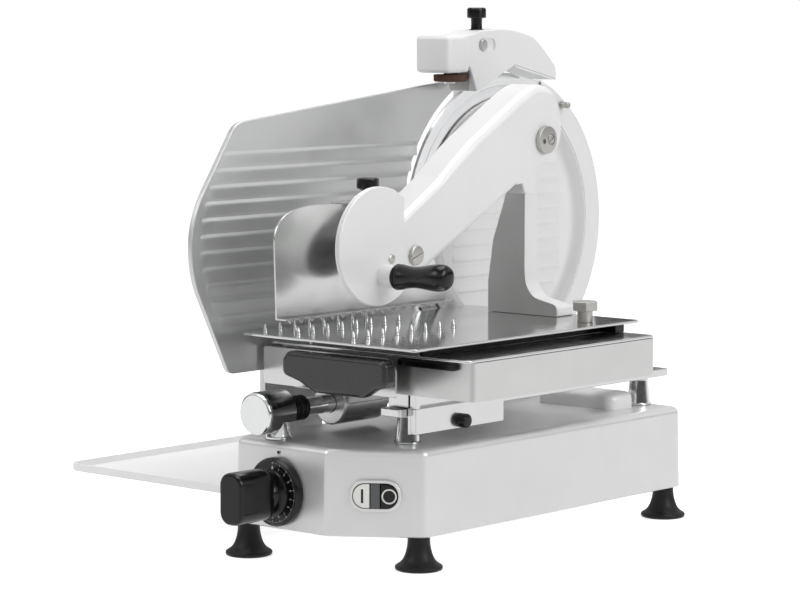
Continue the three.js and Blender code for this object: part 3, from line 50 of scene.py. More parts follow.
# Shared places of the machine
BLADE = (203, 327.4)
COVER_FACE = -109.6
BASE = [(-110.25, -253.5), (24.75, -253.5), (110.25, -193.5), (110.25, 253.5), (-110.25, 253.5)]
BASE_BOTTOM, BASE_TOP, BASE_ROUND, BASE_DRAFT = 36, 127.5, 8, 2
ROD = (-61.4, 157)
DIAL = (-43, 75.5)
DIAL_FRONT = -261.8
CHAMFER_CENTRE = Vector((67.5, -223.5, 79.5))
CHAMFER_TURN = atan2(60, 85.5)
TABLE_TOP = 238
PIVOT = (98, 433)
LOWER_PIN = (-119, 319)


# Outlines

def arc(centre, radius, start, end, steps):
    return [
        (centre[0] + radius * cos(start + (end - start) * i / steps),
         centre[1] + radius * sin(start + (end - start) * i / steps))
        for i in range(steps + 1)
    ]


def rectangle(left, right, low, high):
    return [(left, low), (right, low), (right, high), (left, high)]


def rounded(points, radius, steps=6):
    """A polygon with rounded corners; the radius is one value or a value for each corner."""
    result = []
    count = len(points)
    for i, point in enumerate(points):
        here = Vector(point)
        back = Vector(points[i - 1]) - here
        ahead = Vector(points[(i + 1) % count]) - here
        wanted = radius[i] if isinstance(radius, (list, tuple)) else radius
        if wanted <= 0:
            result.append(tuple(here))
            continue
        half = back.angle(ahead) / 2
        reach = min(wanted / tan(half), 0.48 * min(back.length, ahead.length))
        size = reach * tan(half)
        inward = (back.normalized() + ahead.normalized()).normalized() * (size / sin(half))
        centre = here + inward
        start = here + back.normalized() * reach - centre
        end = here + ahead.normalized() * reach - centre
        first = atan2(start.y, start.x)
        sweep = (atan2(end.y, end.x) - first + pi) % (2 * pi) - pi
        result += arc(centre, size, first, first + sweep, steps)
    return result


def traced(bounds, shares, steps=10):
    """A closed outline in shares of its bounds; four shares make a curve, pulled by the first two."""
    left, right, low, high = bounds
    place = lambda a, b: (left + a * (right - left), low + b * (high - low))
    result = []
    for share in shares:
        if len(share) == 2:
            result.append(place(*share))
            continue
        start, pull, end = result[-1], place(*share[:2]), place(*share[2:])
        for i in range(1, steps + 1):
            t = i / steps
            result.append(tuple(
                (1 - t) ** 2 * start[k] + 2 * t * (1 - t) * pull[k] + t * t * end[k] for k in (0, 1)))
    if (Vector(result[0]) - Vector(result[-1])).length < 0.01:
        result.pop()
    return result


def inset(points, distance):
    """A convex, counterclockwise polygon drawn in by a distance."""
    edges = []
    for i, point in enumerate(points):
        step = Vector(points[(i + 1) % len(points)]) - Vector(point)
        normal = Vector((-step.y, step.x)).normalized()
        edges.append((normal, normal.dot(Vector(point)) + distance))
    result = []
    for i in range(len(points)):
        (a, p), (b, q) = edges[i - 1], edges[i]
        across = a.x * b.y - a.y * b.x
        result.append(((p * b.y - q * a.y) / across, (q * a.x - p * b.x) / across))
    return result


# Meshes, made in the machine's frame

CHAMFER = Matrix.Translation(CHAMFER_CENTRE) @ Matrix.Rotation(CHAMFER_TURN, 4, "Z")


def even_normals(thing):
    thing.modifiers.new("even_normals", "WEIGHTED_NORMAL").keep_sharp = True


def linked(name, data):
    thing = bpy.data.objects.new(name, data)
    bpy.context.scene.collection.objects.link(thing)
    return thing


class Shape:
    """A mesh of the machine's frame; each call adds to it and gives it back."""

    def __init__(self):
        self.mesh = bmesh.new()

    def prism(self, outline, axis, start, end, soft=0, segments=3, angle=35):
        """An outline pushed along an axis: (y, z) along x, (x, z) along y and (x, y) along z."""
        turn = TO_MACHINE[axis]
        low = [self.mesh.verts.new(turn(u, v, start)) for u, v in outline]
        high = [self.mesh.verts.new(turn(u, v, end)) for u, v in outline]
        faces = [self.mesh.faces.new(low[::-1]), self.mesh.faces.new(high)] + self.bridge([low, high])
        bmesh.ops.recalc_face_normals(self.mesh, faces=faces)
        edges = {edge for face in faces for edge in face.edges}
        edges = [e for e in edges if len(e.link_faces) == 2 and e.calc_face_angle(0) > angle * DEGREE]
        if soft > 0 and edges:
            bmesh.ops.bevel(self.mesh, geom=edges, offset=soft, segments=segments, profile=0.5,
                            affect="EDGES", clamp_overlap=True)
        return self

    def box(self, xs, ys, zs, soft=0.6, segments=2):
        return self.prism(rectangle(*xs, *ys), "z", *zs, soft, segments)

    def lathe(self, profile, axis, centre, facets=72, start=0, sweep=360):
        """A profile of (radius, place along the axis), turned about the axis through the centre."""
        turn = TO_MACHINE[axis]
        whole = sweep >= 360
        rings = []
        for radius, place in profile:
            if radius < 1e-6:
                rings.append([self.mesh.verts.new(turn(*centre, place))])
                continue
            rings.append([])
            for i in range(facets if whole else facets + 1):
                angle = (start + sweep * i / facets) * DEGREE
                u, v = centre[0] + radius * cos(angle), centre[1] + radius * sin(angle)
                rings[-1].append(self.mesh.verts.new(turn(u, v, place)))
        faces = []
        closed = not whole or profile[0] == profile[-1]
        if whole and closed:
            for vertex in rings.pop():
                self.mesh.verts.remove(vertex)
        for a, b in list(zip(rings, rings[1:])) + ([(rings[-1], rings[0])] if closed else []):
            for i in range(facets):
                j = (i + 1) % facets if whole else i + 1
                corners = [a[i % len(a)], a[j % len(a)], b[j % len(b)], b[i % len(b)]]
                if len(a) == 1:
                    corners = [a[0], b[j], b[i]]
                if len(b) == 1:
                    corners = [a[i], a[j], b[0]]
                if len(set(corners)) >= 3:
                    faces.append(self.mesh.faces.new(corners))
        if not whole:
            faces.append(self.mesh.faces.new([ring[0] for ring in rings]))
            faces.append(self.mesh.faces.new([ring[-1] for ring in rings][::-1]))
        bmesh.ops.recalc_face_normals(self.mesh, faces=faces)
        return self

    def bridge(self, rings):
        faces = []
        for a, b in zip(rings, rings[1:]):
            for i in range(len(a)):
                j = (i + 1) % len(a)
                faces.append(self.mesh.faces.new((a[i], a[j], b[j], b[i])))
        return faces

    def loft(self, loops, caps=(True, True)):
        """Joins loops of the same number of points, given as vectors."""
        rings = [[self.mesh.verts.new(point) for point in loop] for loop in loops]
        faces = self.bridge(rings)
        if caps[0]:
            faces.append(self.mesh.faces.new(rings[0][::-1]))
        if caps[1]:
            faces.append(self.mesh.faces.new(rings[-1]))
        bmesh.ops.recalc_face_normals(self.mesh, faces=faces)
        return self

    def moved(self, matrix):
        bmesh.ops.transform(self.mesh, matrix=matrix, verts=self.mesh.verts)
        return self

    def data(self, name):
        data = bpy.data.meshes.new(name)
        self.mesh.to_mesh(data)
        self.mesh.free()
        return data

    def add(self, other):
        data = other.data("other")
        self.mesh.from_mesh(data)
        bpy.data.meshes.remove(data)
        return self

    def in_row(self, name):
        """The mesh in the row's frame, in metres."""
        bmesh.ops.translate(self.mesh, vec=MACHINE, verts=self.mesh.verts)
        bmesh.ops.scale(self.mesh, vec=(MM, MM, MM), verts=self.mesh.verts)
        return self.data(name)

    def piece(self, name, finish, node=None, body="frame", slot=None, angle=38):
        """Becomes a piece that rides on a body, and may stand for a node."""
        data = self.in_row(name)
        data.polygons.foreach_set("use_smooth", [True] * len(data.polygons))
        data.set_sharp_from_angle(angle=angle * DEGREE)
        data.materials.append(finish)
        thing = linked(name, data)
        even_normals(thing)
        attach(thing, body)
        if node:
            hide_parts(node)
        slot or SLOT_OF[finish.name]
        return thing

    def cut_from(self, thing):
        """Is taken out of a piece."""
        tool = linked("cutter", self.in_row("cutter"))
        thing.modifiers.clear()
        modifier = thing.modifiers.new("cut", "BOOLEAN")
        modifier.operation = "DIFFERENCE"
        modifier.solver = "EXACT"
        modifier.object = tool
        bpy.context.view_layer.update()
        result = bpy.data.meshes.new_from_object(thing.evaluated_get(bpy.context.evaluated_depsgraph_get()))
        thing.modifiers.remove(modifier)
        thing.data = result
        result.set_sharp_from_angle(angle=38 * DEGREE)
        even_normals(thing)
        bpy.data.objects.remove(tool)


# Materials

WHITE = (1, 1, 1, 1)


class Nodes:
    """The nodes of a material or the world."""

    def __init__(self, owner):
        owner.use_nodes = True
        self.tree = owner.node_tree

    def add(self, kind, inputs=None, **settings):
        made = self.tree.nodes.new("ShaderNode" + kind)
        for key, value in settings.items():
            setattr(made, key, value)
        for key, value in (inputs or {}).items():
            if isinstance(value, bpy.types.NodeSocket):
                self.tree.links.new(value, made.inputs[key])
            else:
                made.inputs[key].default_value = value
        return made

    def out(self, kind, inputs=None, socket=0, **settings):
        return self.add(kind, inputs, **settings).outputs[socket]

    def mixed(self, factor, first, second):
        return self.out("MixShader", {0: factor, 1: first, 2: second})

    def ramp(self, value, stops):
        """A colour that follows a value, from pairs of place and colour; the first two are the ends."""
        made = self.add("ValToRGB", {"Fac": value})
        elements = made.color_ramp.elements
        for i, (place, color) in enumerate(stops):
            stop = elements[i] if i < 2 else elements.new(place)
            stop.position, stop.color = place, (*color, 1)
        return made.outputs["Color"]

    def surface(self, shader, output):
        self.tree.links.new(shader, self.tree.nodes[output].inputs["Surface"])


class Finish(Nodes):
    """A material around one shader, whose colour, gloss and relief vary."""

    def __init__(self, name, color, metallic, roughness):
        self.material = bpy.data.materials.new(name)
        super().__init__(self.material)
        self.shader = self.tree.nodes["Principled BSDF"]
        self.color, self.roughness = color, roughness
        self.set({"Base Color": (*color, 1), "Metallic": metallic, "Roughness": roughness})

    def set(self, values):
        for key, value in values.items():
            self.shader.inputs[key].default_value = value

    def link(self, value, key):
        self.tree.links.new(value, self.shader.inputs[key])

    def where(self):
        """Object coordinates, in metres."""
        return self.out("TexCoord", socket="Object")

    def place(self, stretch=(1, 1, 1)):
        return self.out("Mapping", {"Vector": self.where(), "Scale": stretch})

    def radius(self):
        """A coordinate that changes only with the distance from the blade's axis, for turned marks."""
        middle = (0, (BLADE[0] + MACHINE.y) * MM, BLADE[1] * MM)
        offset = self.out("VectorMath", {0: self.where(), 1: middle}, operation="SUBTRACT")
        flat = self.out("VectorMath", {0: offset, 1: (0, 1, 1)}, operation="MULTIPLY")
        return self.out("VectorMath", {0: flat}, "Value", operation="LENGTH")

    def noise(self, vector, scale, detail=3, roughness=0.5):
        return self.out("TexNoise", {
            "Vector": vector, "Scale": scale, "Detail": detail, "Roughness": roughness}, "Fac")

    def spread(self, value, low, high):
        return self.out("MapRange", {
            "Value": value, "From Min": 0.3, "From Max": 0.7, "To Min": low, "To Max": high})

    def blend(self, value, low, high):
        self.link(self.out("Mix", {"Factor": value, 6: (*low, 1), 7: (*high, 1)}, 2, data_type="RGBA"),
            "Base Color")

    def tint(self, value, change):
        """Varies the colour a little with a value."""
        self.blend(value, [max(0, c * (1 - change)) for c in self.color],
                   [min(1, c * (1 + change)) for c in self.color])

    def gloss(self, value, below, above, marks=None, most=0):
        """Varies the roughness with a value, and with marks that add to it."""
        result = self.spread(value, self.roughness - below, self.roughness + above)
        if marks:
            result = self.out("Math", {0: result, 1: self.spread(marks, -0.02, most)}, operation="ADD")
        self.link(result, "Roughness")

    def bump(self, value, strength, distance=0.0002, under=None):
        inputs = {"Height": value, "Strength": strength, "Distance": distance}
        if under:
            inputs["Normal"] = under
        normal = self.out("Bump", inputs)
        self.link(normal, "Normal")
        return normal


def cast_metal(name, color, metallic, roughness, grain=0.12, coat=0, dished_and_shaded=None):
    """A cast surface, sprayed or anodised: fine grain over a slow unevenness, with faint smudges.

    A dished one looks hollow between two radii about the blade's axis, by a bump of a depth, and darker there
    by a tint: painted shade of the hollow, put into its colour.
    """
    made = Finish(name, color, metallic, roughness)
    where = made.place()
    slow = made.noise(where, 16)
    made.tint(slow, 0.035)
    made.gloss(made.noise(where, 45, 5, 0.65), 0.06, 0.07)
    shape = None
    if dished_and_shaded:
        inner, outer, depth, tint = dished_and_shaded
        radius = made.radius()
        fall = made.out("MapRange", {
            "Value": radius, "From Min": inner * MM, "From Max": outer * MM, "To Min": 1, "To Max": 0,
        }, interpolation_type="SMOOTHSTEP")
        shape = made.bump(fall, 1, depth * MM)
        # Painted shade: a colour ramp darkens the band towards its outer radius, standing in for the hollow's
        # shade
        across = made.out("MapRange", {
            "Value": radius, "From Min": inner * MM, "From Max": (outer + 2.4) * MM})
        made.link(made.ramp(across, [(place, [c * share for c in color]) for place, share in (
            (0, 1), (1, 1), (0.45, (1 + tint) / 2), (0.9, tint), (0.94, 1))]), "Base Color")
    made.bump(made.noise(where, 1400, 2), grain, 0.00012, made.bump(slow, 0.08, 0.002, shape))
    made.set({"Coat Weight": coat, "Coat Roughness": 0.25})
    return made.material


def brushed_metal(name, color, roughness, stretch, grain=0.1, change=0.05):
    """Sheet metal with long brush lines, fine scratches and finger marks."""
    made = Finish(name, color, 1, roughness)
    lines = made.noise(made.place(stretch), 1, 4, 0.6)
    scratches = made.noise(made.place([s * 0.23 for s in stretch]), 1, 2)
    made.tint(lines, change)
    made.gloss(lines, 0.04, 0.05, made.noise(made.place(), 38, 5, 0.6), 0.05)
    made.bump(scratches, grain * 0.6, 0.0001, made.bump(lines, grain, 0.00006))
    return made.material


def turned_metal(name, color, roughness, grain=0.12):
    """Metal ground in rings about the blade's axis."""
    made = Finish(name, color, 1, roughness)
    radius = made.radius()
    rings, broad = (
        made.out("TexNoise", {"W": radius, "Scale": scale, "Detail": detail}, "Fac", noise_dimensions="1D")
        for scale, detail in ((2600, 3), (160, 2)))
    made.tint(broad, 0.05)
    made.gloss(rings, 0.03, 0.05, made.noise(made.place(), 30, 4, 0.6), 0.04)
    made.bump(rings, grain, 0.00004)
    return made.material


def polished(name, color, roughness=0.06):
    """Bright plating: almost a mirror, with faint waviness and wiping marks."""
    made = Finish(name, color, 1, roughness)
    where = made.place()
    wave = made.noise(where, 60, 2)
    made.tint(wave, 0.03)
    made.gloss(made.noise(where, 240, 4, 0.7), 0.02, 0.06)
    made.bump(wave, 0.05, 0.0005)
    return made.material


def moulded(name, color, roughness, grain, scale, coat=0, dust=0.03, gleam=0.5):
    """Moulded plastic or rubber with a fine skin, slight dust and wear to its gloss."""
    made = Finish(name, color, 0, roughness)
    where = made.place()
    wear = made.noise(where, 55, 5, 0.65)
    made.blend(made.spread(wear, 0, 0.5), color, [min(1, c + dust) for c in color])
    made.gloss(wear, 0.04, 0.08)
    made.bump(made.noise(where, scale), grain)
    made.set({"Specular IOR Level": gleam, "Coat Weight": coat, "Coat Roughness": 0.08})
    return made.material


def gritty(name, color):
    """A bonded grinding stone: dark and light grains in a brown bond."""
    made = Finish(name, color, 0, 0.9)
    where = made.place()
    made.tint(made.noise(where, 220, 4), 0.35)
    made.bump(made.out("TexVoronoi", {"Vector": where, "Scale": 1500}, "Distance"), 0.7, 0.0004)
    return made.material


PAINT = cast_metal("silver_paint", (0.8, 0.805, 0.8), 0.12, 0.4, 0.1, 0.15)
# The blade cover's paint, with painted shade darkening its outer band
COVER_PAINT_WITH_SHADE = cast_metal(
    "silver_paint_dished", (0.8, 0.805, 0.8), 0.12, 0.4, 0.1, 0.15, dished_and_shaded=(119, 146.2, 7, 0.74))
BASE_METAL = cast_metal("satin_aluminium", (0.75, 0.752, 0.75), 0.6, 0.36, 0.14)
GAUGE_METAL = cast_metal("anodised_plate", (0.66, 0.665, 0.665), 0.75, 0.36, 0.12)
LEG_METAL = brushed_metal("leg_sheet", (0.84, 0.845, 0.83), 0.33, (260, 260, 20), 0.05, 0.02)
TRAY_METAL = cast_metal("pale_satin_sheet", (0.96, 0.96, 0.955), 0, 0.4, 0.08, 0.2)
STEEL_Y = brushed_metal("steel_along_y", (0.68, 0.685, 0.68), 0.17, (900, 9, 900))
TABLE_STEEL = brushed_metal("polished_sheet", (0.62, 0.625, 0.62), 0.1, (900, 9, 900), 0.06, 0.04)
STEEL_BOX = brushed_metal("steel_box", (0.68, 0.68, 0.675), 0.32, (900, 9, 900))
STEEL_X = brushed_metal("steel_along_x", (0.66, 0.665, 0.66), 0.19, (9, 900, 900))
STEEL_Z = brushed_metal("steel_upright", (0.66, 0.665, 0.66), 0.24, (900, 900, 9))
MACHINED = brushed_metal("machined_steel", (0.55, 0.555, 0.55), 0.28, (500, 60, 500), 0.15)
CHROME = polished("bright_chrome", (0.74, 0.745, 0.75))
SPIKE = polished("spike_steel", (0.62, 0.625, 0.63), 0.2)
# A darker copy of the chrome: painted shade and painted dark reflection
SHADED_CHROME = polished("chrome_with_painted_shade", (0.34, 0.34, 0.345), 0.16)
NICKEL = polished("warm_nickel", (0.52, 0.51, 0.485), 0.34)
KNIFE = turned_metal("knife_steel", (0.8, 0.805, 0.815), 0.18)
BLACK = moulded("black_gloss", (0.004, 0.004, 0.004), 0.2, 0.04, 900, 0.08, 0.002, 0.3)
HANDLE = moulded("black_handle", (0.008, 0.008, 0.008), 0.24, 0.06, 900, 0.35, 0.004)
BLACK_SATIN = moulded("black_satin", (0.007, 0.007, 0.007), 0.36, 0.1, 1400, 0, 0.005, 0.35)
RUBBER = moulded("rubber", (0.005, 0.005, 0.005), 0.42, 0.18, 1100, 0, 0.005, 0.3)
STONE = gritty("brown_stone", (0.1, 0.05, 0.035))
LENS = moulded("smoked_lens", (0.05, 0.055, 0.06), 0.1, 0.02, 700, 0.6, 0.01)
IVORY = moulded("white_plastic", (0.8, 0.8, 0.77), 0.28, 0.04, 1200, 0.3, 0.02)
PRINT = moulded("white_print", (0.72, 0.72, 0.7), 0.45, 0.05, 1500, 0, 0.02)

# The material slot that each finish stands for
SLOT_OF = {finish.name: slot for slot, finishes in {
    "cast_paint": (PAINT, COVER_PAINT_WITH_SHADE), "base_metal": (BASE_METAL,), "blade_steel": (KNIFE,),
    "brushed": (GAUGE_METAL, LEG_METAL, MACHINED), "chrome": (CHROME, SPIKE, SHADED_CHROME, NICKEL),
    "steel": (TRAY_METAL, TABLE_STEEL, STEEL_BOX, STEEL_X, STEEL_Y), "rubber": (RUBBER,), "stone": (STONE,),
    "black_plastic": (BLACK, HANDLE, BLACK_SATIN), "smoked": (LENS,), "ivory": (IVORY, PRINT),
}.items() for finish in finishes}

# What each node of the CAD model that stays visible is made of
KEPT = {
    "bottom_cover": STEEL_X, "bearing_housing": MACHINED, "drive_belt": RUBBER, "motor_body": PAINT,
    "motor_rotor": MACHINED, "blade_shaft": MACHINED, "dial_shaft": MACHINED, "gauge_carrier": PAINT,
}
for name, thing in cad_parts.items():
    thing.data.materials.clear()
    thing.data.materials.append(KEPT.get(name, STEEL_Z))


# Shapes that come back

def bar(radius, start, end):
    """The profile of a plain round bar."""
    return [(0, start), (radius, start), (radius, end), (0, end)]


def slab(left, right, low, high, radius, steps=6):
    return rounded(rectangle(left, right, low, high), radius, steps)


def bore(thing, radius, start, end, axis, centre, facets):
    Shape().lathe(bar(radius, start, end), axis, centre, facets).cut_from(thing)


def stadium(half_width, half_height):
    return slab(-half_width, half_width, -half_height, half_height, half_height, 12)


def hexagon(centre, radius, turn=0):
    return [(centre[0] + radius * cos((i * 60 + turn) * DEGREE),
             centre[1] + radius * sin((i * 60 + turn) * DEGREE)) for i in range(6)]


def rounding(top, radius, steps):
    """Heights and insets of a rounded upper edge."""
    quarter = [i / steps * pi / 2 for i in range(steps + 1)]
    return [(top - radius + radius * sin(angle), radius * (1 - cos(angle))) for angle in quarter]


def at_height(outline, z):
    return [Vector((u, v, z)) for u, v in outline]


def stack(outline, levels, corner, least, steps):
    """Loops of an outline that is drawn in by a distance at each height."""
    return [at_height(rounded(inset(outline, distance), max(corner - distance, least), steps), z)
            for z, distance in levels]


def rib(mesh, face, crest, steps, under):
    """A rib of one cross section (height, rise), along places with a share of the full rise."""
    mesh.loft([
        [Vector((face + rise * share, place, z)) for z, rise in crest]
        + [Vector((face - under, place, crest[-1][0])), Vector((face - under, place, crest[0][0]))]
        for place, share in steps])


def about(centre, degrees):
    """From a place on the X axis to one about an axis parallel to it."""
    return Matrix.Translation(Vector((0, *centre))) @ Matrix.Rotation(degrees * DEGREE, 4, "X")


# Base

def base_housing():
    crown = [(height, BASE_DRAFT + distance) for height, distance in rounding(BASE_TOP, BASE_ROUND, 7)]
    levels = [(60, 7.2), (BASE_BOTTOM, 7.2), (BASE_BOTTOM, 0.9), (BASE_BOTTOM + 0.9, 0)] + crown
    shell = Shape().loft(stack(BASE, levels, 12, 2, 8)).piece(
        "base_shell", BASE_METAL, "base_housing", angle=30)
    Shape().prism(stadium(25, 14.5), "y", -6, 15).moved(CHAMFER).cut_from(shell)


def rear_dome():
    levels = [(126, 0)] + rounding(145.5, 9, 6)
    Shape().loft(stack(rectangle(-38, 73, 168, 214), levels, 14, 1.5, 6)).piece("rear_dome", PAINT, angle=60)


def feet():
    for name, centre in (
            ("foot_front_left", (-97.85, -241)), ("foot_front_right", (93, -185)),
            ("foot_rear_left", (-96.75, 240)), ("foot_rear_right", (91.75, 240))):
        Shape().lathe([
            (0, 0), (22.5, 0), (24.4, 0.8), (25, 2.2), (25, 3.6), (24.4, 4.8), (22.6, 6), (19.6, 8),
            (17.2, 10.6), (15.3, 14), (13.8, 18.2), (12.6, 23), (11.9, 28), (11.7, 33), (11.7, 35.7),
            (0, 35.7),
        ], "z", centre, 56).piece(name + "_rubber", RUBBER, name, angle=50)


def gland():
    centre = (40, 62)
    Shape().prism(hexagon(centre, 12.2), "y", 253.8, 258.8, 0.7).lathe([
        (5, 250), (6, 250), (9.2, 258), (9.2, 262), (8.6, 262.6), (8.6, 264), (9, 264.6), (9, 266),
        (7.2, 269.6), (4.6, 269.8), (4.6, 252), (5, 250)], "y", centre, 40).piece(
            "gland_nut", BLACK_SATIN, "cable_gland")


# Rails

def posts():
    for name, centre, top in (
            ("post_front_right", (62, -167), 157.7), ("post_rear_right", (62, 232), 157.7),
            ("post_front_left", (-61.4, -233), 146.7), ("post_rear_left", (-61.4, 232), 146.7)):
        Shape().lathe([
            (0, 127.8), (13.9, 127.8), (14.35, 128.2), (14.35, 129.6), (13.9, 130), (13.4, 130.3),
            (10.6, top - 2.4), (10.6, top - 1), (10.1, top - 0.4), (10, top), (0, top)],
            "z", centre, 56).piece(name + "_turned", CHROME, name, angle=30)


def rails():
    Shape().prism(slab(48, 76, -196, 270, 3, 5), "z", 158, 166.4, 0.9).piece(
        "flat_rail_bar", STEEL_Y, "flat_rail")
    Shape().lathe([(0, -266.5), (9.4, -266.5), (10, -265.9), (10, 265.9), (9.4, 266.5), (0, 266.5)],
                  "y", ROD, 64).piece("round_rod", CHROME, "guide_rod")


def rod_cap(name, side, length):
    """A turned cap on an end of the rod; the side is -1 in front and 1 behind."""
    bottom, outside = side * 266.8, side * 269.4
    mouth = outside - side * length
    return Shape().lathe([
        (0, outside), (19.6, outside), (21.4, outside - side * 0.5), (22.3, outside - side * 1.6),
        (22.5, outside - side * 3), (22.5, mouth + side * 1.2), (21.6, mouth + side * 0.2), (20.8, mouth),
        (10.3, mouth), (10.3, bottom), (0, bottom)], "y", ROD).piece(
            name + "_turned", CHROME, name, angle=30)


def rod_ends():
    rod_cap("rod_cap_rear", 1, 21)
    cap = rod_cap("rod_cap_front", -1, 42)
    # A thin sleeve of darkened chrome over the front cap: painted shade for the dark reflection under the
    # carriage
    band = Shape().lathe([
        (22.53, -265.4), (22.8, -264.8), (22.8, -228.8), (22.53, -228.4), (22.4, -228.8), (22.4, -264.8),
        (22.53, -265.4)], "y", ROD).piece("rod_cap_shade_band", SHADED_CHROME, angle=30)
    for thing in (cap, band):
        Shape().box((-90, -30), (-247, -200), (120, 147.3), 0).cut_from(thing)
    front = -216
    profile = [(10.3, front)]
    for start in (front, front + 7.5, front + 15):
        profile += [
            (12.4, start), (13.4, start + 0.8), (13.5, start + 2), (13.3, start + 3.2), (12.4, start + 4.2)]
        if start < front + 15:
            profile += [(11.9, start + 5), (11.9, start + 6.8)]
    profile += [(10.3, profile[-1][1]), (10.3, front)]
    Shape().lathe(profile, "y", ROD, 56).piece("bumper_rings", RUBBER, "rod_bumper", angle=60)


# Blade, ring guard and cover

def knife():
    rear, front = -116, -113
    Shape().lathe([
        (9, rear), (163, rear), (174.7, -114.6), (175, -114.4), (174.7, -114.1), (172, front), (161, -113.15),
        (160.4, front), (9, front), (9, rear)], "x", BLADE, 180).piece(
            "knife_disc", KNIFE, "blade", "blade_rotor", angle=12)


def ring_guard():
    face, rear = COVER_FACE, COVER_FACE - 16
    Shape().lathe([
        (149.1, face - 2.2), (149.1, face - 0.7), (149.5, face - 0.2), (150.4, face), (172.8, face),
        (175, face - 0.3), (176.9, face - 1.2), (178.1, face - 2.9), (178.5, face - 5), (178.5, rear + 0.8),
        (177.7, rear), (167.2, rear), (166.5, rear + 0.7), (166.5, rear + 2.4), (176.1, rear + 2.4),
        (176.1, face - 3.4), (174.6, face - 2.2)], "x", BLADE, 140, -140, 208).piece(
            "ring_channel", PAINT, "ring_guard", angle=30)
    Shape().lathe([
        (0, face - 2), (5, face - 2), (5, face + 1.4), (4.6, face + 1.8), (2.9, face + 1.8), (2.9, face + 5),
        (3.4, face + 5.4), (3.7, face + 6), (3.7, face + 12.2), (3.1, face + 13), (0, face + 13)],
        "x", (302, 462.5), 40).piece("ring_pin", NICKEL)


def blade_cover():
    face = COVER_FACE
    groove = [(131 + 12.6 * cos(i / 12 * pi), face - 1.6 * sin(i / 12 * pi) ** 0.7)
              for i in range(1, 12)]
    mesh = Shape().lathe([
        (0, -112), (147.4, -112), (148.6, -111.2), (148.6, face - 0.8), (148, face - 0.2), (147, face),
        (144.6, face), (144, face - 0.12), *groove, (118, face - 0.12), (117.4, face), (0, face)],
        "x", BLADE, 160)
    for z in (254 + 17.7 * i for i in range(9)):
        half = min(98, sqrt(117 ** 2 - (z - BLADE[1]) ** 2) - 2)
        crest = [
            (z - 4.4, -0.2), (z - 3, 0.05), (z - 1.9, 0.8), (z - 0.9, 1.7), (z + 0.4, 1.95), (z + 2, 1.7),
            (z + 4.6, 1), (z + 8, 0.3), (z + 11.5, -0.2)]
        rib(mesh, face, crest, [(BLADE[0] + half * along, share) for along, share in (
            (-1, 0), (-0.985, 0.55), (-0.95, 1), (0.95, 1), (0.985, 0.55), (1, 0))], 0.6)
    mesh.piece("ribbed_cover", COVER_PAINT_WITH_SHADE, "blade_cover", angle=50)
    Shape().lathe(bar(5, -182, -112.2), "x", BLADE, 32).piece("cover_tie_rod", CHROME)


# Head casting behind the blade

SLIDE_POST = (-137, 164)


def head_outline(grow):
    radius = 88 + grow
    front, rear, low = 123 - grow, 292 + grow, 44 - grow
    start = -acos(min(1, (rear - BLADE[0]) / radius))
    end = pi + acos(min(1, (BLADE[0] - front) / radius))
    return [(front, low), (rear, low)] + arc(BLADE, radius, start, end, 40)


def head():
    mesh = Shape().loft([[Vector((x, u, v)) for u, v in head_outline(grow)] for x, grow in (
        (-176, -6), (-182, -6), (-182, -2), (-181.4, -0.6), (-180, 0), (-133, 0), (-130, -0.8), (-127.9, -3),
        (-127, -6))], caps=(False, True))
    mesh.box((-133, -110.55), (129, 286), (50, 118), 3, 3)
    mesh.box((-146, -128), (146, 182), (404, 505), 4, 4)
    mesh.lathe([(0, 500), (6, 500), (6, 535), (5.2, 536), (0, 536)], "z", SLIDE_POST, 32)
    for degrees in (40, -8, -62):
        mesh.add(Shape().box((-137.9, -125.9), (82, 176), (-11, 11), 2.5, 3).moved(about(BLADE, degrees)))
    mesh.piece("head_shell", PAINT, "head_casting", angle=35)
    mesh = Shape().prism(head_outline(0), "x", -186.3, -182.3, 1.2, 3)
    for place in ((134, 56), (281, 56), (134, 190), (281, 190), (203, 404), (128, 345), (278, 345)):
        mesh.lathe([(0, -187.4), (2, -187.4), (4, -186.9), (4.6, -186.2), (0, -186.2)], "x", place, 24)
    mesh.piece("head_back_plate", PAINT, "head_rear_cover")


# Gauge plate

GAUGE_LEFT, GAUGE_FACE, GAUGE_TOP, GAUGE_ROUND = -309, -113, 496, 181.5
GAUGE_CURVES = [
    (0.9688, 0), (0.7051, 0.9818), (0.1582, 0.8812), (0.127, 0.8779, 0.1113, 0.8284), (0.043, 0.6601),
    (0, 0.5578, 0, 0.4521), (0, 0.3465, 0.0254, 0.2706), (0.0996, 0.0231), (0.1074, 0, 0.123, 0),
]


def gauge_edge(z):
    """Where the plate's bulging front edge lies at a height."""
    bulge = (z - 330) / 130
    return GAUGE_LEFT + (66 if bulge > 0 else 78) * bulge * bulge


def gauge_plate():
    opening = arc(BLADE, GAUGE_ROUND, 227.8 * DEGREE, 119.1 * DEGREE, 60)
    outline = traced((GAUGE_LEFT, 203, 193, GAUGE_TOP), GAUGE_CURVES, 12)[1:]
    mesh = Shape().prism([(109, GAUGE_TOP)] + outline + opening, "x", -119, GAUGE_FACE, 1.3, 3, angle=40)
    for z in (254 + 17.1 * i for i in range(11)):
        start, last = gauge_edge(z) + 13, 100
        inside = GAUGE_ROUND ** 2 - (z - BLADE[1]) ** 2
        end = min(BLADE[0] - sqrt(inside) - 2.5, last) if inside > 0 else last
        crest = [
            (z - 12.4, -0.15), (z - 9, 0.12), (z - 5, 0.5), (z - 1.8, 0.9), (z - 0.4, 1), (z + 0.8, 0.85),
            (z + 2.2, 0.4), (z + 3.6, 0.05), (z + 4.6, -0.15)]
        rib(mesh, GAUGE_FACE, crest, [
            (start, 0), (start + 3, 0.5), (start + 9, 1), (end - 7, 1), (end - 2.5, 0.5), (end, 0)], 0.5)
    mesh.piece("ribbed_gauge_plate", GAUGE_METAL, "gauge_plate", "gauge", angle=50)


# Dial, with its figures and marks

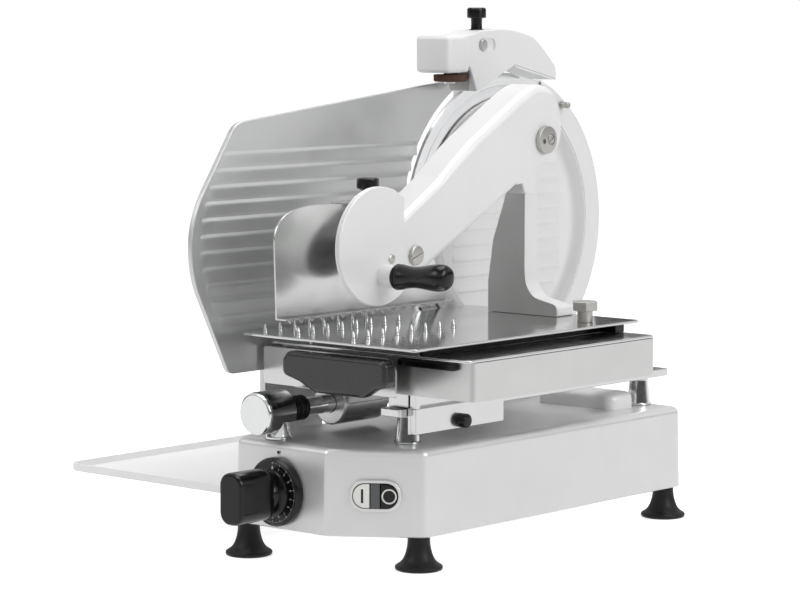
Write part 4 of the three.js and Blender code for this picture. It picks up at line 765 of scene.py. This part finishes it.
def dial_figure(text, x, z, turn):
    """A plain number on the dial's face, turned in that face."""
    curve = bpy.data.curves.new("figure", "FONT")
    curve.body = text
    curve.size = 3.7 * MM
    curve.align_x = curve.align_y = "CENTER"
    curve.extrude = 0.00012
    temp = linked("figure_text", curve)
    bpy.context.view_layer.update()
    data = bpy.data.meshes.new_from_object(temp.evaluated_get(bpy.context.evaluated_depsgraph_get()))
    bpy.data.objects.remove(temp)
    place = Matrix.Translation((Vector((x, DIAL_FRONT, z)) + MACHINE) * MM)
    data.transform(place @ Matrix.Rotation(pi / 2, 4, "X") @ Matrix.Rotation(turn, 4, "Z"))
    data.materials.clear()
    data.materials.append(PRINT)
    thing = linked("dial_figure_" + text, data)
    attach(thing, "dial")


def dial():
    x, z = DIAL
    rear, front = -253.8, DIAL_FRONT
    Shape().lathe([
        (5.3, rear), (35.6, rear), (36.4, rear - 0.6), (36.4, front + 3), (36.1, front + 2.2),
        (33.4, front + 0.3), (32.6, front), (5.3, front), (5.3, rear)], "y", DIAL, 120).piece(
            "dial_disc", BLACK, "dial_plate", "dial", angle=25)
    marks = Shape()
    for i in range(76):
        inner, width = (31, 0.15) if i % 5 else (29.8, 0.25)
        turn = Matrix.Translation(Vector((x, 0, z))) @ Matrix.Rotation((4 * i - 90) * DEGREE, 4, "Y")
        marks.add(Shape().box((inner, 32.2), (front - 0.12, front + 0.2), (-width, width), 0).moved(turn))
    marks.piece("dial_marks", PRINT, body="dial")
    zero = z + 28.6
    pointer = [(x - 2, zero - 4.4), (x + 2, zero - 4.4), (x, zero)]
    Shape().prism(pointer, "y", front - 0.14, front + 0.2).piece("dial_zero_mark", PRINT, body="dial")
    for i in range(1, 16):
        angle = (90 - 20 * i) * DEGREE
        dial_figure(str(i), x + 26.2 * cos(angle), z + 26.2 * sin(angle), angle - pi / 2)
    drop = [(x, 114.4)] + arc((x, 117), 1.3, -0.35, pi + 0.35, 10)
    Shape().prism(drop, "y", -253.4, -252.5).piece("dial_index", BLACK_SATIN)


def dial_knob():
    near = -262.1
    width, height = 15.5, 27
    x, z = DIAL
    loops = []
    for depth, grow in (
            (6, -7), (8, -4.4), (11, -2), (15, -0.6), (20, 0), (58, 0.4), (60.8, -0.1), (62.3, -1.3),
            (63, -3.2)):
        across, up = width + grow, height + grow
        loops.append([Vector((u, near - depth, v)) for u, v in rounded(
            rectangle(x - across, x + across, z - up, z + up), 13 + grow, 8)])
    Shape().loft(loops).lathe([
        (5.3, near), (24.6, near), (25, near - 0.6), (25, near - 4.2), (24.2, near - 5.4), (17, near - 8),
        (14.5, near - 12), (13.6, near - 18), (13.4, near - 26), (5.3, near - 26), (5.3, near)],
        "y", DIAL).piece("wing_knob", BLACK, "dial_knob", "dial", angle=30)


# Switch on the chamfer, in the chamfer's own frame

def switch():
    bezel = Shape().prism(stadium(27, 16.5), "y", -3.4, -0.3, 1).moved(CHAMFER).piece(
        "switch_bezel", BASE_METAL, "switch_frame", slot="black_plastic")
    Shape().prism(stadium(23.9, 13.4), "y", -9, 4).moved(CHAMFER).cut_from(bezel)
    bed = Shape().prism(stadium(24.8, 14.3), "y", -0.8, 14.6, 0.1).moved(CHAMFER).piece(
        "switch_bed", BLACK_SATIN)
    Shape().prism(stadium(23.8, 13.3), "y", -4, 6).moved(CHAMFER).cut_from(bed)
    Shape().prism(slab(-4.9, 4.9, -12.8, 12.8, 0.8, 3), "y", -4.2, 6.6, 0.5).moved(CHAMFER).piece(
        "lens_window", LENS, "switch_lens")
    radius, inner, middle = 12.5, 6, 10.5
    turned = [pi * i / 20 for i in range(21)]
    half = [(-inner, -radius), (-inner, radius)]
    half += [(-middle - radius * sin(angle), radius * cos(angle)) for angle in turned]
    for name, outline, finish in (("on", half, IVORY), ("off", [(-u, v) for u, v in half[::-1]], BLACK)):
        Shape().prism(outline, "y", -5.2, -1.1, 0.9).moved(CHAMFER).piece(
            "button_" + name + "_cap", finish, "button_" + name, name + "_button")
    Shape().box((-14.6, -12.2), (-5.35, -5.1), (-7.3, 7.3), 0.1, 1).moved(CHAMFER).piece(
        "mark_on", BLACK_SATIN, body="on_button")
    circle = [(6.3, -5.1), (6.3, -5.35), (7.9, -5.35), (7.9, -5.1), (6.3, -5.1)]
    Shape().lathe(circle, "y", (14.6, 0), 48).moved(CHAMFER).piece("mark_off", PRINT, body="off_button")


# Carriage

def carriage():
    left, right, front, rear, notch, thick = -106, 172, -192, 115, (-90, -181), 3
    outer = rounded([(left, notch[1]), notch, (notch[0], front), (right, front), (right, rear), (left, rear)],
                    [1.5, 1.5, 1.5, 6, 6, 1.5], 5)
    inner = rounded([
        (left + thick, notch[1] + thick), (notch[0] + thick, notch[1] + thick),
        (notch[0] + thick, front + thick), (right - thick, front + thick), (right - thick, rear - thick),
        (left + thick, rear - thick)], [0.8, 0.8, 0.8, 3.5, 3.5, 0.8], 5)
    Shape().loft([at_height(loop, z) for loop, z in (
        (inner, 185), (inner, 221.7), (outer, 221.7), (outer, 182))]).piece(
            "carriage_shell", STEEL_BOX, "carriage_box", "carriage", angle=30)
    Shape().prism(slab(left, right, -200, rear, 7, 6), "z", 222, 225, 1.1, 4).piece(
        "carriage_rim", STEEL_Y, "carriage_lid", "carriage")
    mesh = Shape().prism(slab(-108, 80, 180, 220, [3, 3, 13, 3], 6), "y", -207, -204, 0.6, 2)
    for share in (0.27, 0.8):
        mesh.lathe(bar(6, -204.4, -192.4), "y", (-108 + 188 * share, 200), 32)
    mesh.piece("front_sheet", STEEL_X, "front_plate", "carriage")


def carriage_handles():
    outline = rounded([
        (-41, 199), (-18, 193), (4, 183), (70, 183), (87, 193), (104, 196), (104, 224), (-34, 224),
        (-41, 215)], [6, 12, 8, 8, 12, 8, 8, 8, 7], 5)
    mesh = Shape().prism(outline, "y", -250, -232, 5, 4, angle=60)
    for x in (-14, 62):
        mesh.box((x, x + 16), (-236, -207.3), (200.5, 216.5), 3, 3)
    mesh.piece("pull_handle", HANDLE, "carriage_handle", "carriage", angle=45)
    Shape().prism(slab(75, 152, 212.5, 220.5, 2.5, 4), "y", -198.8, -192.3, 1.4).piece(
        "finger_bar", BLACK, "grip_bar", "carriage")
    Shape().lathe([(0, 77), (4, 77), (4, 88.3), (7.5, 88.3), (7.5, 95.6), (7.2, 96.6), (6.2, 97.6), (4.8, 98),
                   (0, 98)], "x", (-112, 148), 48).piece("lock_screw_knob", BLACK, "lock_knob", "lock")


def carriage_bearings():
    Shape().lathe([
        (10.6, -154), (21.8, -154), (23.6, -152.2), (23.6, -86), (22.6, -85), (10.6, -85), (10.6, -154)],
        "y", ROD).box((-104, -40), (-165, -85), (171, 181.7), 1.2, 3).piece(
            "rod_sleeve", MACHINED, "rod_bearing", "carriage", angle=30)
    cheeks = Shape().box((-86.4, -36.4), (-150, -86), (157, 172), 1.5).piece(
        "rod_sleeve_cheeks", MACHINED, body="carriage")
    bore(cheeks, 23, -155, -80, "y", ROD, 72)
    front, rear, top = -184, -41, 181.7
    mesh = Shape().box((80, 88), (front, rear), (139.5, 167.2), 1.2, 3)
    mesh.box((76.8, 80.6), (front, rear), (139.5, top), 0.4)
    mesh.box((50, 77.4), (front, rear), (167, top))
    mesh.box((76.8, 88), (front, -177), (166.8, top), 0.8)
    mesh.piece("rail_shoe", STEEL_Y, "rail_bracket", "carriage", slot="brushed")


# Meat table

def table():
    mesh = Shape().prism(slab(-104, 140, -246, 130, 6), "z", 235, TABLE_TOP, 0.9)
    for y in (-192, 96):
        mesh.lathe(bar(3.2, 225.3, 235.5), "z", (-51, y), 24)
    mesh.piece("table_sheet", TABLE_STEEL, "meat_table", "table")
    mesh = Shape()
    for x, first in ((41, -228), (-35, -230), (-77, -236)):
        for i in range(8):
            mesh.lathe([
                (2.9, 237.6), (2.9, 238.6), (2.6, 239.4), (2.4, 241), (2, 243.4), (1.3, 245.8), (0.6, 247.6),
                (0, 248.1)], "z", (x, first + 22.6 * i), 20)
    mesh.piece("table_spikes", SPIKE, body="table", angle=60)
    # A black strip between the carriage rim and the table sheet: painted shade for the shadowed gap there
    Shape().box((105, 111), (-198, 96.5), (225.3, 234.7), 0.8).box(
        (105, 132), (96, 112), (225.3, 234.7), 1.2, 3).piece("shadow_gap_strip", BLACK, "table_band", "table")


WALL_CURVES = [
    (0, 0), (0, 0.1671), (0.0707, 0.3885), (0.2222, 0.5908), (0.3434, 0.7785, 0.3434, 0.8989), (0.3434, 1),
    (0.5354, 1), (0.5354, 0.2489), (0.5354, 0.1045, 0.7475, 0.0852), (0.9495, 0.066), (1, 0.0563, 1, 0.0323),
    (1, 0),
]


def meat_wall():
    foot = 238.3
    outline = traced((-44, 55, foot, 446), WALL_CURVES)
    wall = Shape().prism(outline, "y", 91.2, 114, 2.4, 4, angle=50).piece(
        "wall_leg", PAINT, "meat_wall", "table", angle=40)
    Shape().box((-30, 40), (113, 130), (410, 460), 0).cut_from(wall)
    Shape().prism(outline, "y", 90, 92.4, 0.5, 2, angle=50).piece(
        "wall_front_sheet", LEG_METAL, body="table", angle=40)
    Shape().prism(slab(-43.4, 54.4, 92.8, 123.5, 5, 5), "z", foot, 249.5, 2.6, 4).lathe([
        (8.6, -10), (14.2, -10), (15, -9.2), (15, 22.9), (14.2, 23.7), (8.6, 23.7), (8.6, -10)],
        "x", PIVOT, 56).piece("wall_foot_and_boss", PAINT, body="table")
    centre = (108.5, 72)
    Shape().prism(hexagon(centre, 15, 12), "z", 251, 261, 0.9).lathe(
        bar(8.4, foot, 251.4), "z", centre, 40).piece("stop_bolt_hex", NICKEL, "stop_bolt", "table")


# Press arm

RIVET = (-169, 319)
ARM_CURVES = [
    (0.2825, 0.0739), (0.7681, 0.4779), (0.8398, 0.545), (0.8905, 0.58), (0.9653, 0.632), (1, 0.668, 1, 0.76),
    (1, 1, 0.8635, 1), (0.819, 0.9951, 0.7302, 0.9163), (0.5206, 0.7291), (0.4381, 0.6502, 0.3365, 0.5222),
    (0.1016, 0.3005), (0, 0.202, 0, 0.1034), (0.0032, 0.0049, 0.1016, 0), (0.2032, 0.0049, 0.2825, 0.0739),
]


def arm_line(point):
    """The nearest place on the arm's middle line."""
    low, high = Vector((-150, 322)), Vector((92, 443))
    along = max(0, min(1, (Vector(point) - low).dot(high - low) / (high - low).length_squared))
    return low + (high - low) * along


def press_arm():
    outline = traced((-182, 133, 291, 494), ARM_CURVES, 12)
    edge, drop = 21, 9
    levels = [(0.118, 24), (0.118, -9.4), (0.1, -10), (0.02, -10), (0, -9.3), (0, edge)]
    for i in range(1, 7):
        angle = i / 6 * pi / 2
        levels.append((0.24 * (1 - cos(angle)), edge + drop * sin(angle)))
    loops = []
    for share, x in levels:
        middles = [arm_line(point) for point in outline]
        loops.append([Vector((x, *(middle + (Vector(point) - middle) * (1 - share))))
                      for point, middle in zip(outline, middles)])
    arm = Shape().loft(loops).piece("arm_casting", PAINT, "press_arm", "arm", angle=50)
    Shape().box((-14, 24), (58, 150), (360, 439), 0).cut_from(arm)
    bore(arm, 8.3, -14, 40, "x", PIVOT, 40)
    bore(arm, 5.3, -14, 40, "x", LOWER_PIN, 32)
    Shape().prism([
        (50, 385), (61.4, 386), (63.4, 378.6), (65, 375.6), (68.6, 374), (84.4, 374.2), (84.6, 402),
        (98, 414), (80, 420), (56, 400)], "x", 24.2, 29.6, 1.6, 3, angle=60).box(
            (-9, 27), (63.6, 84.2), (374.8, 402), 2.4, 3).piece("arm_tongue", PAINT, body="arm", angle=50)
    Shape().lathe(bar(10, 27, 37.6), "x", RIVET, 32).piece("arm_rivet_boss", PAINT, body="arm")


def pivot_bolt():
    head = Shape().lathe([
        (0, -12), (8, -12), (8, 30.3), (15, 30.3), (15.5, 30.8), (15.5, 34.4), (15.2, 35.4), (14.4, 35.9),
        (0, 36.3)], "x", PIVOT).piece("pivot_bolt_head", NICKEL, "arm_pivot_bolt", "arm", angle=25)
    Shape().lathe(
        [(0, 33), (2.3, 33), (3, 38), (0, 38)], "x", (PIVOT[0] - 7.5, PIVOT[1] - 1.5), 24).cut_from(head)
    centre = (PIVOT[0] + 5, PIVOT[1] + 0.5)
    Shape().lathe([(0, 34.6), (5.9, 34.6), (6.3, 38), (0, 38)], "x", centre, 36).cut_from(head)
    screw = Shape().lathe(
        [(0, 34.2), (5.1, 34.2), (5.1, 35.9), (4.7, 36.4), (0, 36.6)], "x", centre, 36).piece(
            "pivot_lock_screw", NICKEL, body="arm", angle=25)
    Shape().box((35, 39), (-6, 6), (-0.8, 0.8), 0).moved(about(centre, 35)).cut_from(screw)


def lower_screw():
    screw = Shape().lathe([
        (0, 0), (5, 0), (5, 30.3), (10, 30.3), (10.5, 30.8), (10.5, 32.7), (10, 33.6), (8.9, 34.3),
        (0, 34.3)], "x", LOWER_PIN, 64).piece("lower_screw_head", NICKEL, "arm_lower_screw", "arm", angle=25)
    Shape().box((32.7, 36.3), (-12, 12), (-1, 1), 0).moved(about(LOWER_PIN, 20)).cut_from(screw)


GRIP = (-180, 302)


def hand_guard():
    centre, radius = (-187, 333), 62
    chord = acos((-148 - centre[0]) / radius)
    rim = Shape().lathe([(56, 38.4), (61, 35.2), (62, 35), (62, 36.4), (58, 40.6), (56, 41), (56, 38.4)],
                        "x", centre, 96, chord / DEGREE, 360 - 2 * chord / DEGREE)
    Shape().prism(
        arc(centre, radius, chord, 2 * pi - chord, 96), "x", 38, 41.2, 1.4, angle=30).add(rim).lathe(
            [(0, 39), (12, 39), (12, 56.6), (11, 58.7), (0, 58.7)], "x", GRIP, 48).piece(
                "guard_disc", PAINT, "hand_guard", "arm", angle=40)
    Shape().lathe([(0, 40.8), (5, 40.8), (4.7, 41.9), (3.4, 42.6), (0, 42.8)], "x", RIVET, 32).piece(
        "guard_rivet", NICKEL, body="arm")


def arm_grip():
    root, length, rise = 59, 70, 3
    grip = Shape().lathe([
        (0, root), (12.2, root), (13.2, 59.4), (13.6, 60.4), (13.4, 61.6), (12.4, 62.4), (12.4, 63),
        (13.4, 64.2), (13, 67.2), (12, 71.6), (11.3, 77.2), (11, 83), (11.3, 89), (11.9, 95), (12.8, 101.4),
        (13.7, 108), (14.2, 114.6), (14, 119.6), (13.1, 123.6), (11.3, 126.6), (8.6, 128.3), (5, 129),
        (0, 129)], "x", GRIP, 64)
    for vertex in grip.mesh.verts:
        vertex.co.z += rise * (vertex.co.x - root) / length
    grip.piece("hand_grip", BLACK, "arm_grip", "arm", angle=50)


PRESS_CURVES = [
    (0.011, 0), (1, 0), (1, 0.0851), (0.9632, 0.1021, 0.9559, 0.2043), (0.9338, 0.5447, 0.8088, 0.766),
    (0.6838, 0.9872, 0.5515, 0.9957), (0.2206, 1), (0.0037, 0.9872, 0, 0.6979),
]


def press_plate():
    mesh = Shape().prism(traced((-260, 12, 256, 373.5), PRESS_CURVES, 12), "x", -42.5, -40, 0.7, 2, angle=50)
    mesh.box((-41, -27), (-257, 12), (256, 258), 0.5)
    for y in (-257 + 16 * (i + 0.5) for i in range(16)):
        mesh.prism([(y - 5.3, 257.2), (y - 0.4, 252.4), (y + 0.4, 252.4), (y + 5.3, 257.2)],
                   "x", -28.6, -27, 0.25, 2)
    mesh.lathe([(5.4, -41), (13, -41), (13, 22.9), (12.2, 23.7), (5.4, 23.7), (5.4, -41)], "x", LOWER_PIN, 48)
    mesh.box((-42.3, -40.2), (-172, -116), (362, 375.2), 0.5)
    mesh.box((-41, -14), (-172, -116), (372.7, 375.7), 0.9, 3)
    mesh.piece("press_sheet", STEEL_X, "press_plate", "arm")
    Shape().lathe([
        (0, 369), (3.3, 369), (3.5, 369.4), (3.5, 376), (7.2, 376), (7.5, 376.5), (7.2, 379.6), (6.6, 383),
        (6.8, 385.4), (8.6, 387.2), (11.2, 388), (12, 389), (12, 396.8), (11.6, 398.2), (10.4, 399),
        (9, 399.2), (0, 399.2)], "z", (-25, -132.5), 48).piece(
            "clamp_top_knob", BLACK, "clamp_knob", "clamp", angle=40)


# Sharpener

HOOD_CURVES = [
    (0.258, 0), (0.205, 0.3514), (0.195, 0.4), (0.06, 0.38), (0.06, 0.86), (0.1944, 0.91),
    (0.2836, 0.9714), (0.4641, 1), (0.62, 1, 0.7877, 0.8443), (0.882, 0.6443), (0.978, 0.3943),
    (1, 0.23, 0.9882, 0.1457), (0.594, 0.3957),
]
TOP_SCREW = (-88, 121.3)
# Stones: place along Y, height, radius, thickness, spindle's radius, body and node
STONES = (
    (77, 499.5, 19, 8, 4, "stone_disc", "sharpening_stone"),
    (150, 508, 15, 7, 3.5, "deburring_disc", "deburring_stone"),
)


def stone_place(y):
    return -89, y


def sharpener():
    hood = Shape().prism(traced((46, 241, 484, 554), HOOD_CURVES, 8), "x", -106, -66, 4, 4, angle=50).piece(
        "sharpener_hood", PAINT, "sharpener_body", "sharpener", angle=42)
    end_block = Shape().box((-115, -65.4), (46, 84), (505.5, 547.3), 5, 5).piece(
        "sharpener_end", PAINT, body="sharpener")
    for y, z, radius, thick, *rest in STONES:
        bore(hood, radius + 2.6, z - 2 * radius, z + thick / 2 + 4, "z", stone_place(y), 48)
    y, z, radius, *rest = STONES[0]
    bore(end_block, radius + 2.6, 460, z + 8, "z", stone_place(y), 48)
    bore(hood, 8.6, 550.5, 560, "z", TOP_SCREW, 40)
    Shape().prism(slab(98.5, 128.5, 528.5, 544, 7.4, 8), "x", -68, -60).cut_from(hood)
    screw = Shape().lathe(
        [(0, -69), (6.2, -69), (6.2, -65.6), (5.7, -65), (0, -64.9)], "x", (108, 536.4), 36).piece(
            "hood_screw", MACHINED, body="sharpener", slot="chrome")
    Shape().box((-66, -60), (100, 116), (535.7, 537.1), 0).cut_from(screw)
    strip = [(162.5, 510.6), (236, 493.9), (238.4, 496), (163, 513.4)]
    Shape().prism(strip, "x", -66.3, -65.3, 0.3, 2).piece("hood_edge_strip", CHROME, body="sharpener")
    bridge = Shape().box((-142, -105), (116, 200), (514, 540), 3, 3).piece(
        "sharpener_bridge", PAINT, body="sharpener")
    bore(bridge, 6.6, 510, 545, "z", SLIDE_POST, 32)
    Shape().lathe([
        (0, 550.8), (7.6, 550.8), (8, 551.2), (8, 553.4), (7.6, 553.8), (6.5, 554), (6.2, 560), (6.5, 565.8),
        (10.2, 566.5), (10.8, 567.2), (10.8, 575.2), (10.4, 576.8), (9.4, 577.8), (8, 578.1), (0, 578.1)],
        "z", TOP_SCREW, 56).piece("sharpener_top_knob", BLACK, "sharpener_knob", "sharpener_turn", angle=30)


def stones():
    for y, z, radius, thick, spindle, body, name in STONES:
        hole, collar, top, low = spindle + 0.6, spindle + 3.6, z + thick / 2, z - thick / 2
        Shape().lathe([
            (hole, low), (radius - 1.4, low), (radius, low + 1.4), (radius, top - 0.6), (radius - 0.6, top),
            (collar, top), (collar, top + 2), (hole, top + 2), (hole, low)], "z", stone_place(y), 56).piece(
                name + "_disc", STONE, name, body)
        under, washer = low - 0.6, spindle + 3
        Shape().lathe([
            (0, under - 1.6), (washer, under - 1.6), (washer, under), (spindle, under), (spindle, 526),
            (0, 526)], "z", stone_place(y), 32).piece(name + "_pin", CHROME, body="sharpener")


# Slice tray

def slice_tray():
    left, side, front, rear = -372, -110.55, -250, 117
    outline = [(left, front), (side, front), (side, -192), (-155, -192), (-155, -90), (side, -90),
               (side, rear), (left, rear)]
    corners = [14, 2, 1, 1, 1, 1, 2, 14]
    loops = []
    for distance, z in (
            (2.4, 64.6), (1.8, 65.4), (1.6, 71.7), (1.2, 72), (0.3, 72), (0, 71.7), (0, 64.2), (1.2, 63)):
        shrunk = inset(outline, distance) if distance else outline
        loops.append(at_height(rounded(shrunk, [max(c - distance, 0.6) for c in corners]), z))
    Shape().loft(loops).box((side - 1.6, side), (front, -192), (64, 88), 0.4).piece(
        "tray_sheet", TRAY_METAL, "receiving_tray", angle=35)


for make in (
        base_housing, rear_dome, feet, gland, posts, rails, rod_ends, knife, ring_guard, blade_cover, head,
        gauge_plate, dial, dial_knob, switch, carriage, carriage_handles, carriage_bearings, table, meat_wall,
        press_arm, pivot_bolt, lower_screw, hand_guard, arm_grip, press_plate, sharpener, stones, slice_tray):
    make()


# Floor, light and camera

def set_stage():
    bpy.ops.mesh.primitive_plane_add(size=60, location=(0, 0, 0))
    floor = bpy.context.object
    floor.name = "floor"
    made = Finish("studio_floor", (0.82, 0.82, 0.82), 0, 0.6)
    glow = made.out("Emission", {"Color": WHITE, "Strength": 0.7})
    dark = made.out("Emission", {"Color": (0, 0, 0, 1), "Strength": 0})
    rays = made.add("LightPath").outputs
    lit = made.mixed(rays["Is Camera Ray"], dark, glow)
    seen = made.out("AddShader", {0: made.shader.outputs[0], 1: lit})
    # The floor as metal mirrors it: bright at the back of the studio, dimmer at the open front
    forward = made.out("VectorMath", {
        0: made.where(), 1: (0.66, -0.75, 0)}, "Value", operation="DOT_PRODUCT")
    level = made.out("MapRange", {
        "Value": forward, "From Min": 0.6, "From Max": 2.4, "To Min": 1.04, "To Max": 0.5})
    mirrored = made.out("Emission", {"Color": WHITE, "Strength": level})
    made.surface(made.mixed(rays["Is Glossy Ray"], seen, mirrored), "Material Output")
    floor.data.materials.append(made.material)


def set_world():
    world = bpy.data.worlds.new("studio")
    bpy.context.scene.world = world
    made = Nodes(world)
    light = made.tree.nodes["Background"]
    light.inputs["Color"].default_value = WHITE
    light.inputs["Strength"].default_value = 0.42
    height = made.out("SeparateXYZ", {0: made.out("TexCoord", socket="Generated")}, "Z")
    bands = made.ramp(height, [(place, [level] * 3) for place, level in (
        (0, 0.75), (1, 0.5), (0.04, 0.08), (0.16, 0.1), (0.23, 0.8), (0.55, 0.9), (0.7, 0.3))])
    glossy = made.out("Background", {"Color": bands, "Strength": 1})
    backdrop = made.out("Background", {"Color": WHITE, "Strength": 1})
    rays = made.add("LightPath").outputs
    shiny = made.mixed(rays["Is Glossy Ray"], light.outputs[0], glossy)
    seen = made.out("Math", {0: rays["Is Camera Ray"], 1: rays["Is Transmission Ray"]}, operation="MAXIMUM")
    made.surface(made.mixed(seen, shiny, backdrop), "World Output")


def aimed(thing, place, direction):
    thing.location = place
    thing.rotation_euler = direction.to_track_quat("-Z", "Y").to_euler()


def area_light(name, place, size, power):
    light = bpy.data.lights.new(name, "AREA")
    light.shape = "RECTANGLE"
    light.size, light.size_y = size
    light.energy = power
    aimed(linked(name, light), place, Vector((0, 0, 0.3)) - Vector(place))


def set_camera():
    azimuth, elevation = 41.47 * DEGREE, 5.8 * DEGREE
    level = cos(elevation)
    data = bpy.data.cameras.new("camera")
    data.lens = 135
    data.sensor_width = 36
    data.sensor_fit = "HORIZONTAL"
    data.clip_end = 100
    camera = linked("camera", data)
    aimed(camera, (2.2072, -2.5217, 0.5919),
          Vector((-sin(azimuth) * level, cos(azimuth) * level, -sin(elevation))))
    bpy.context.scene.camera = camera


set_stage()
set_world()
area_light("key", (-0.9, -2.3, 2.1), (1.6, 1.2), 16.5)
area_light("top", (0.1, 0.2, 2.4), (1.8, 1.8), 32)
area_light("side", (2.5, 0.2, 1.4), (1.4, 1.4), 23)
set_camera()
bpy.context.scene.view_settings.view_transform = "Standard"
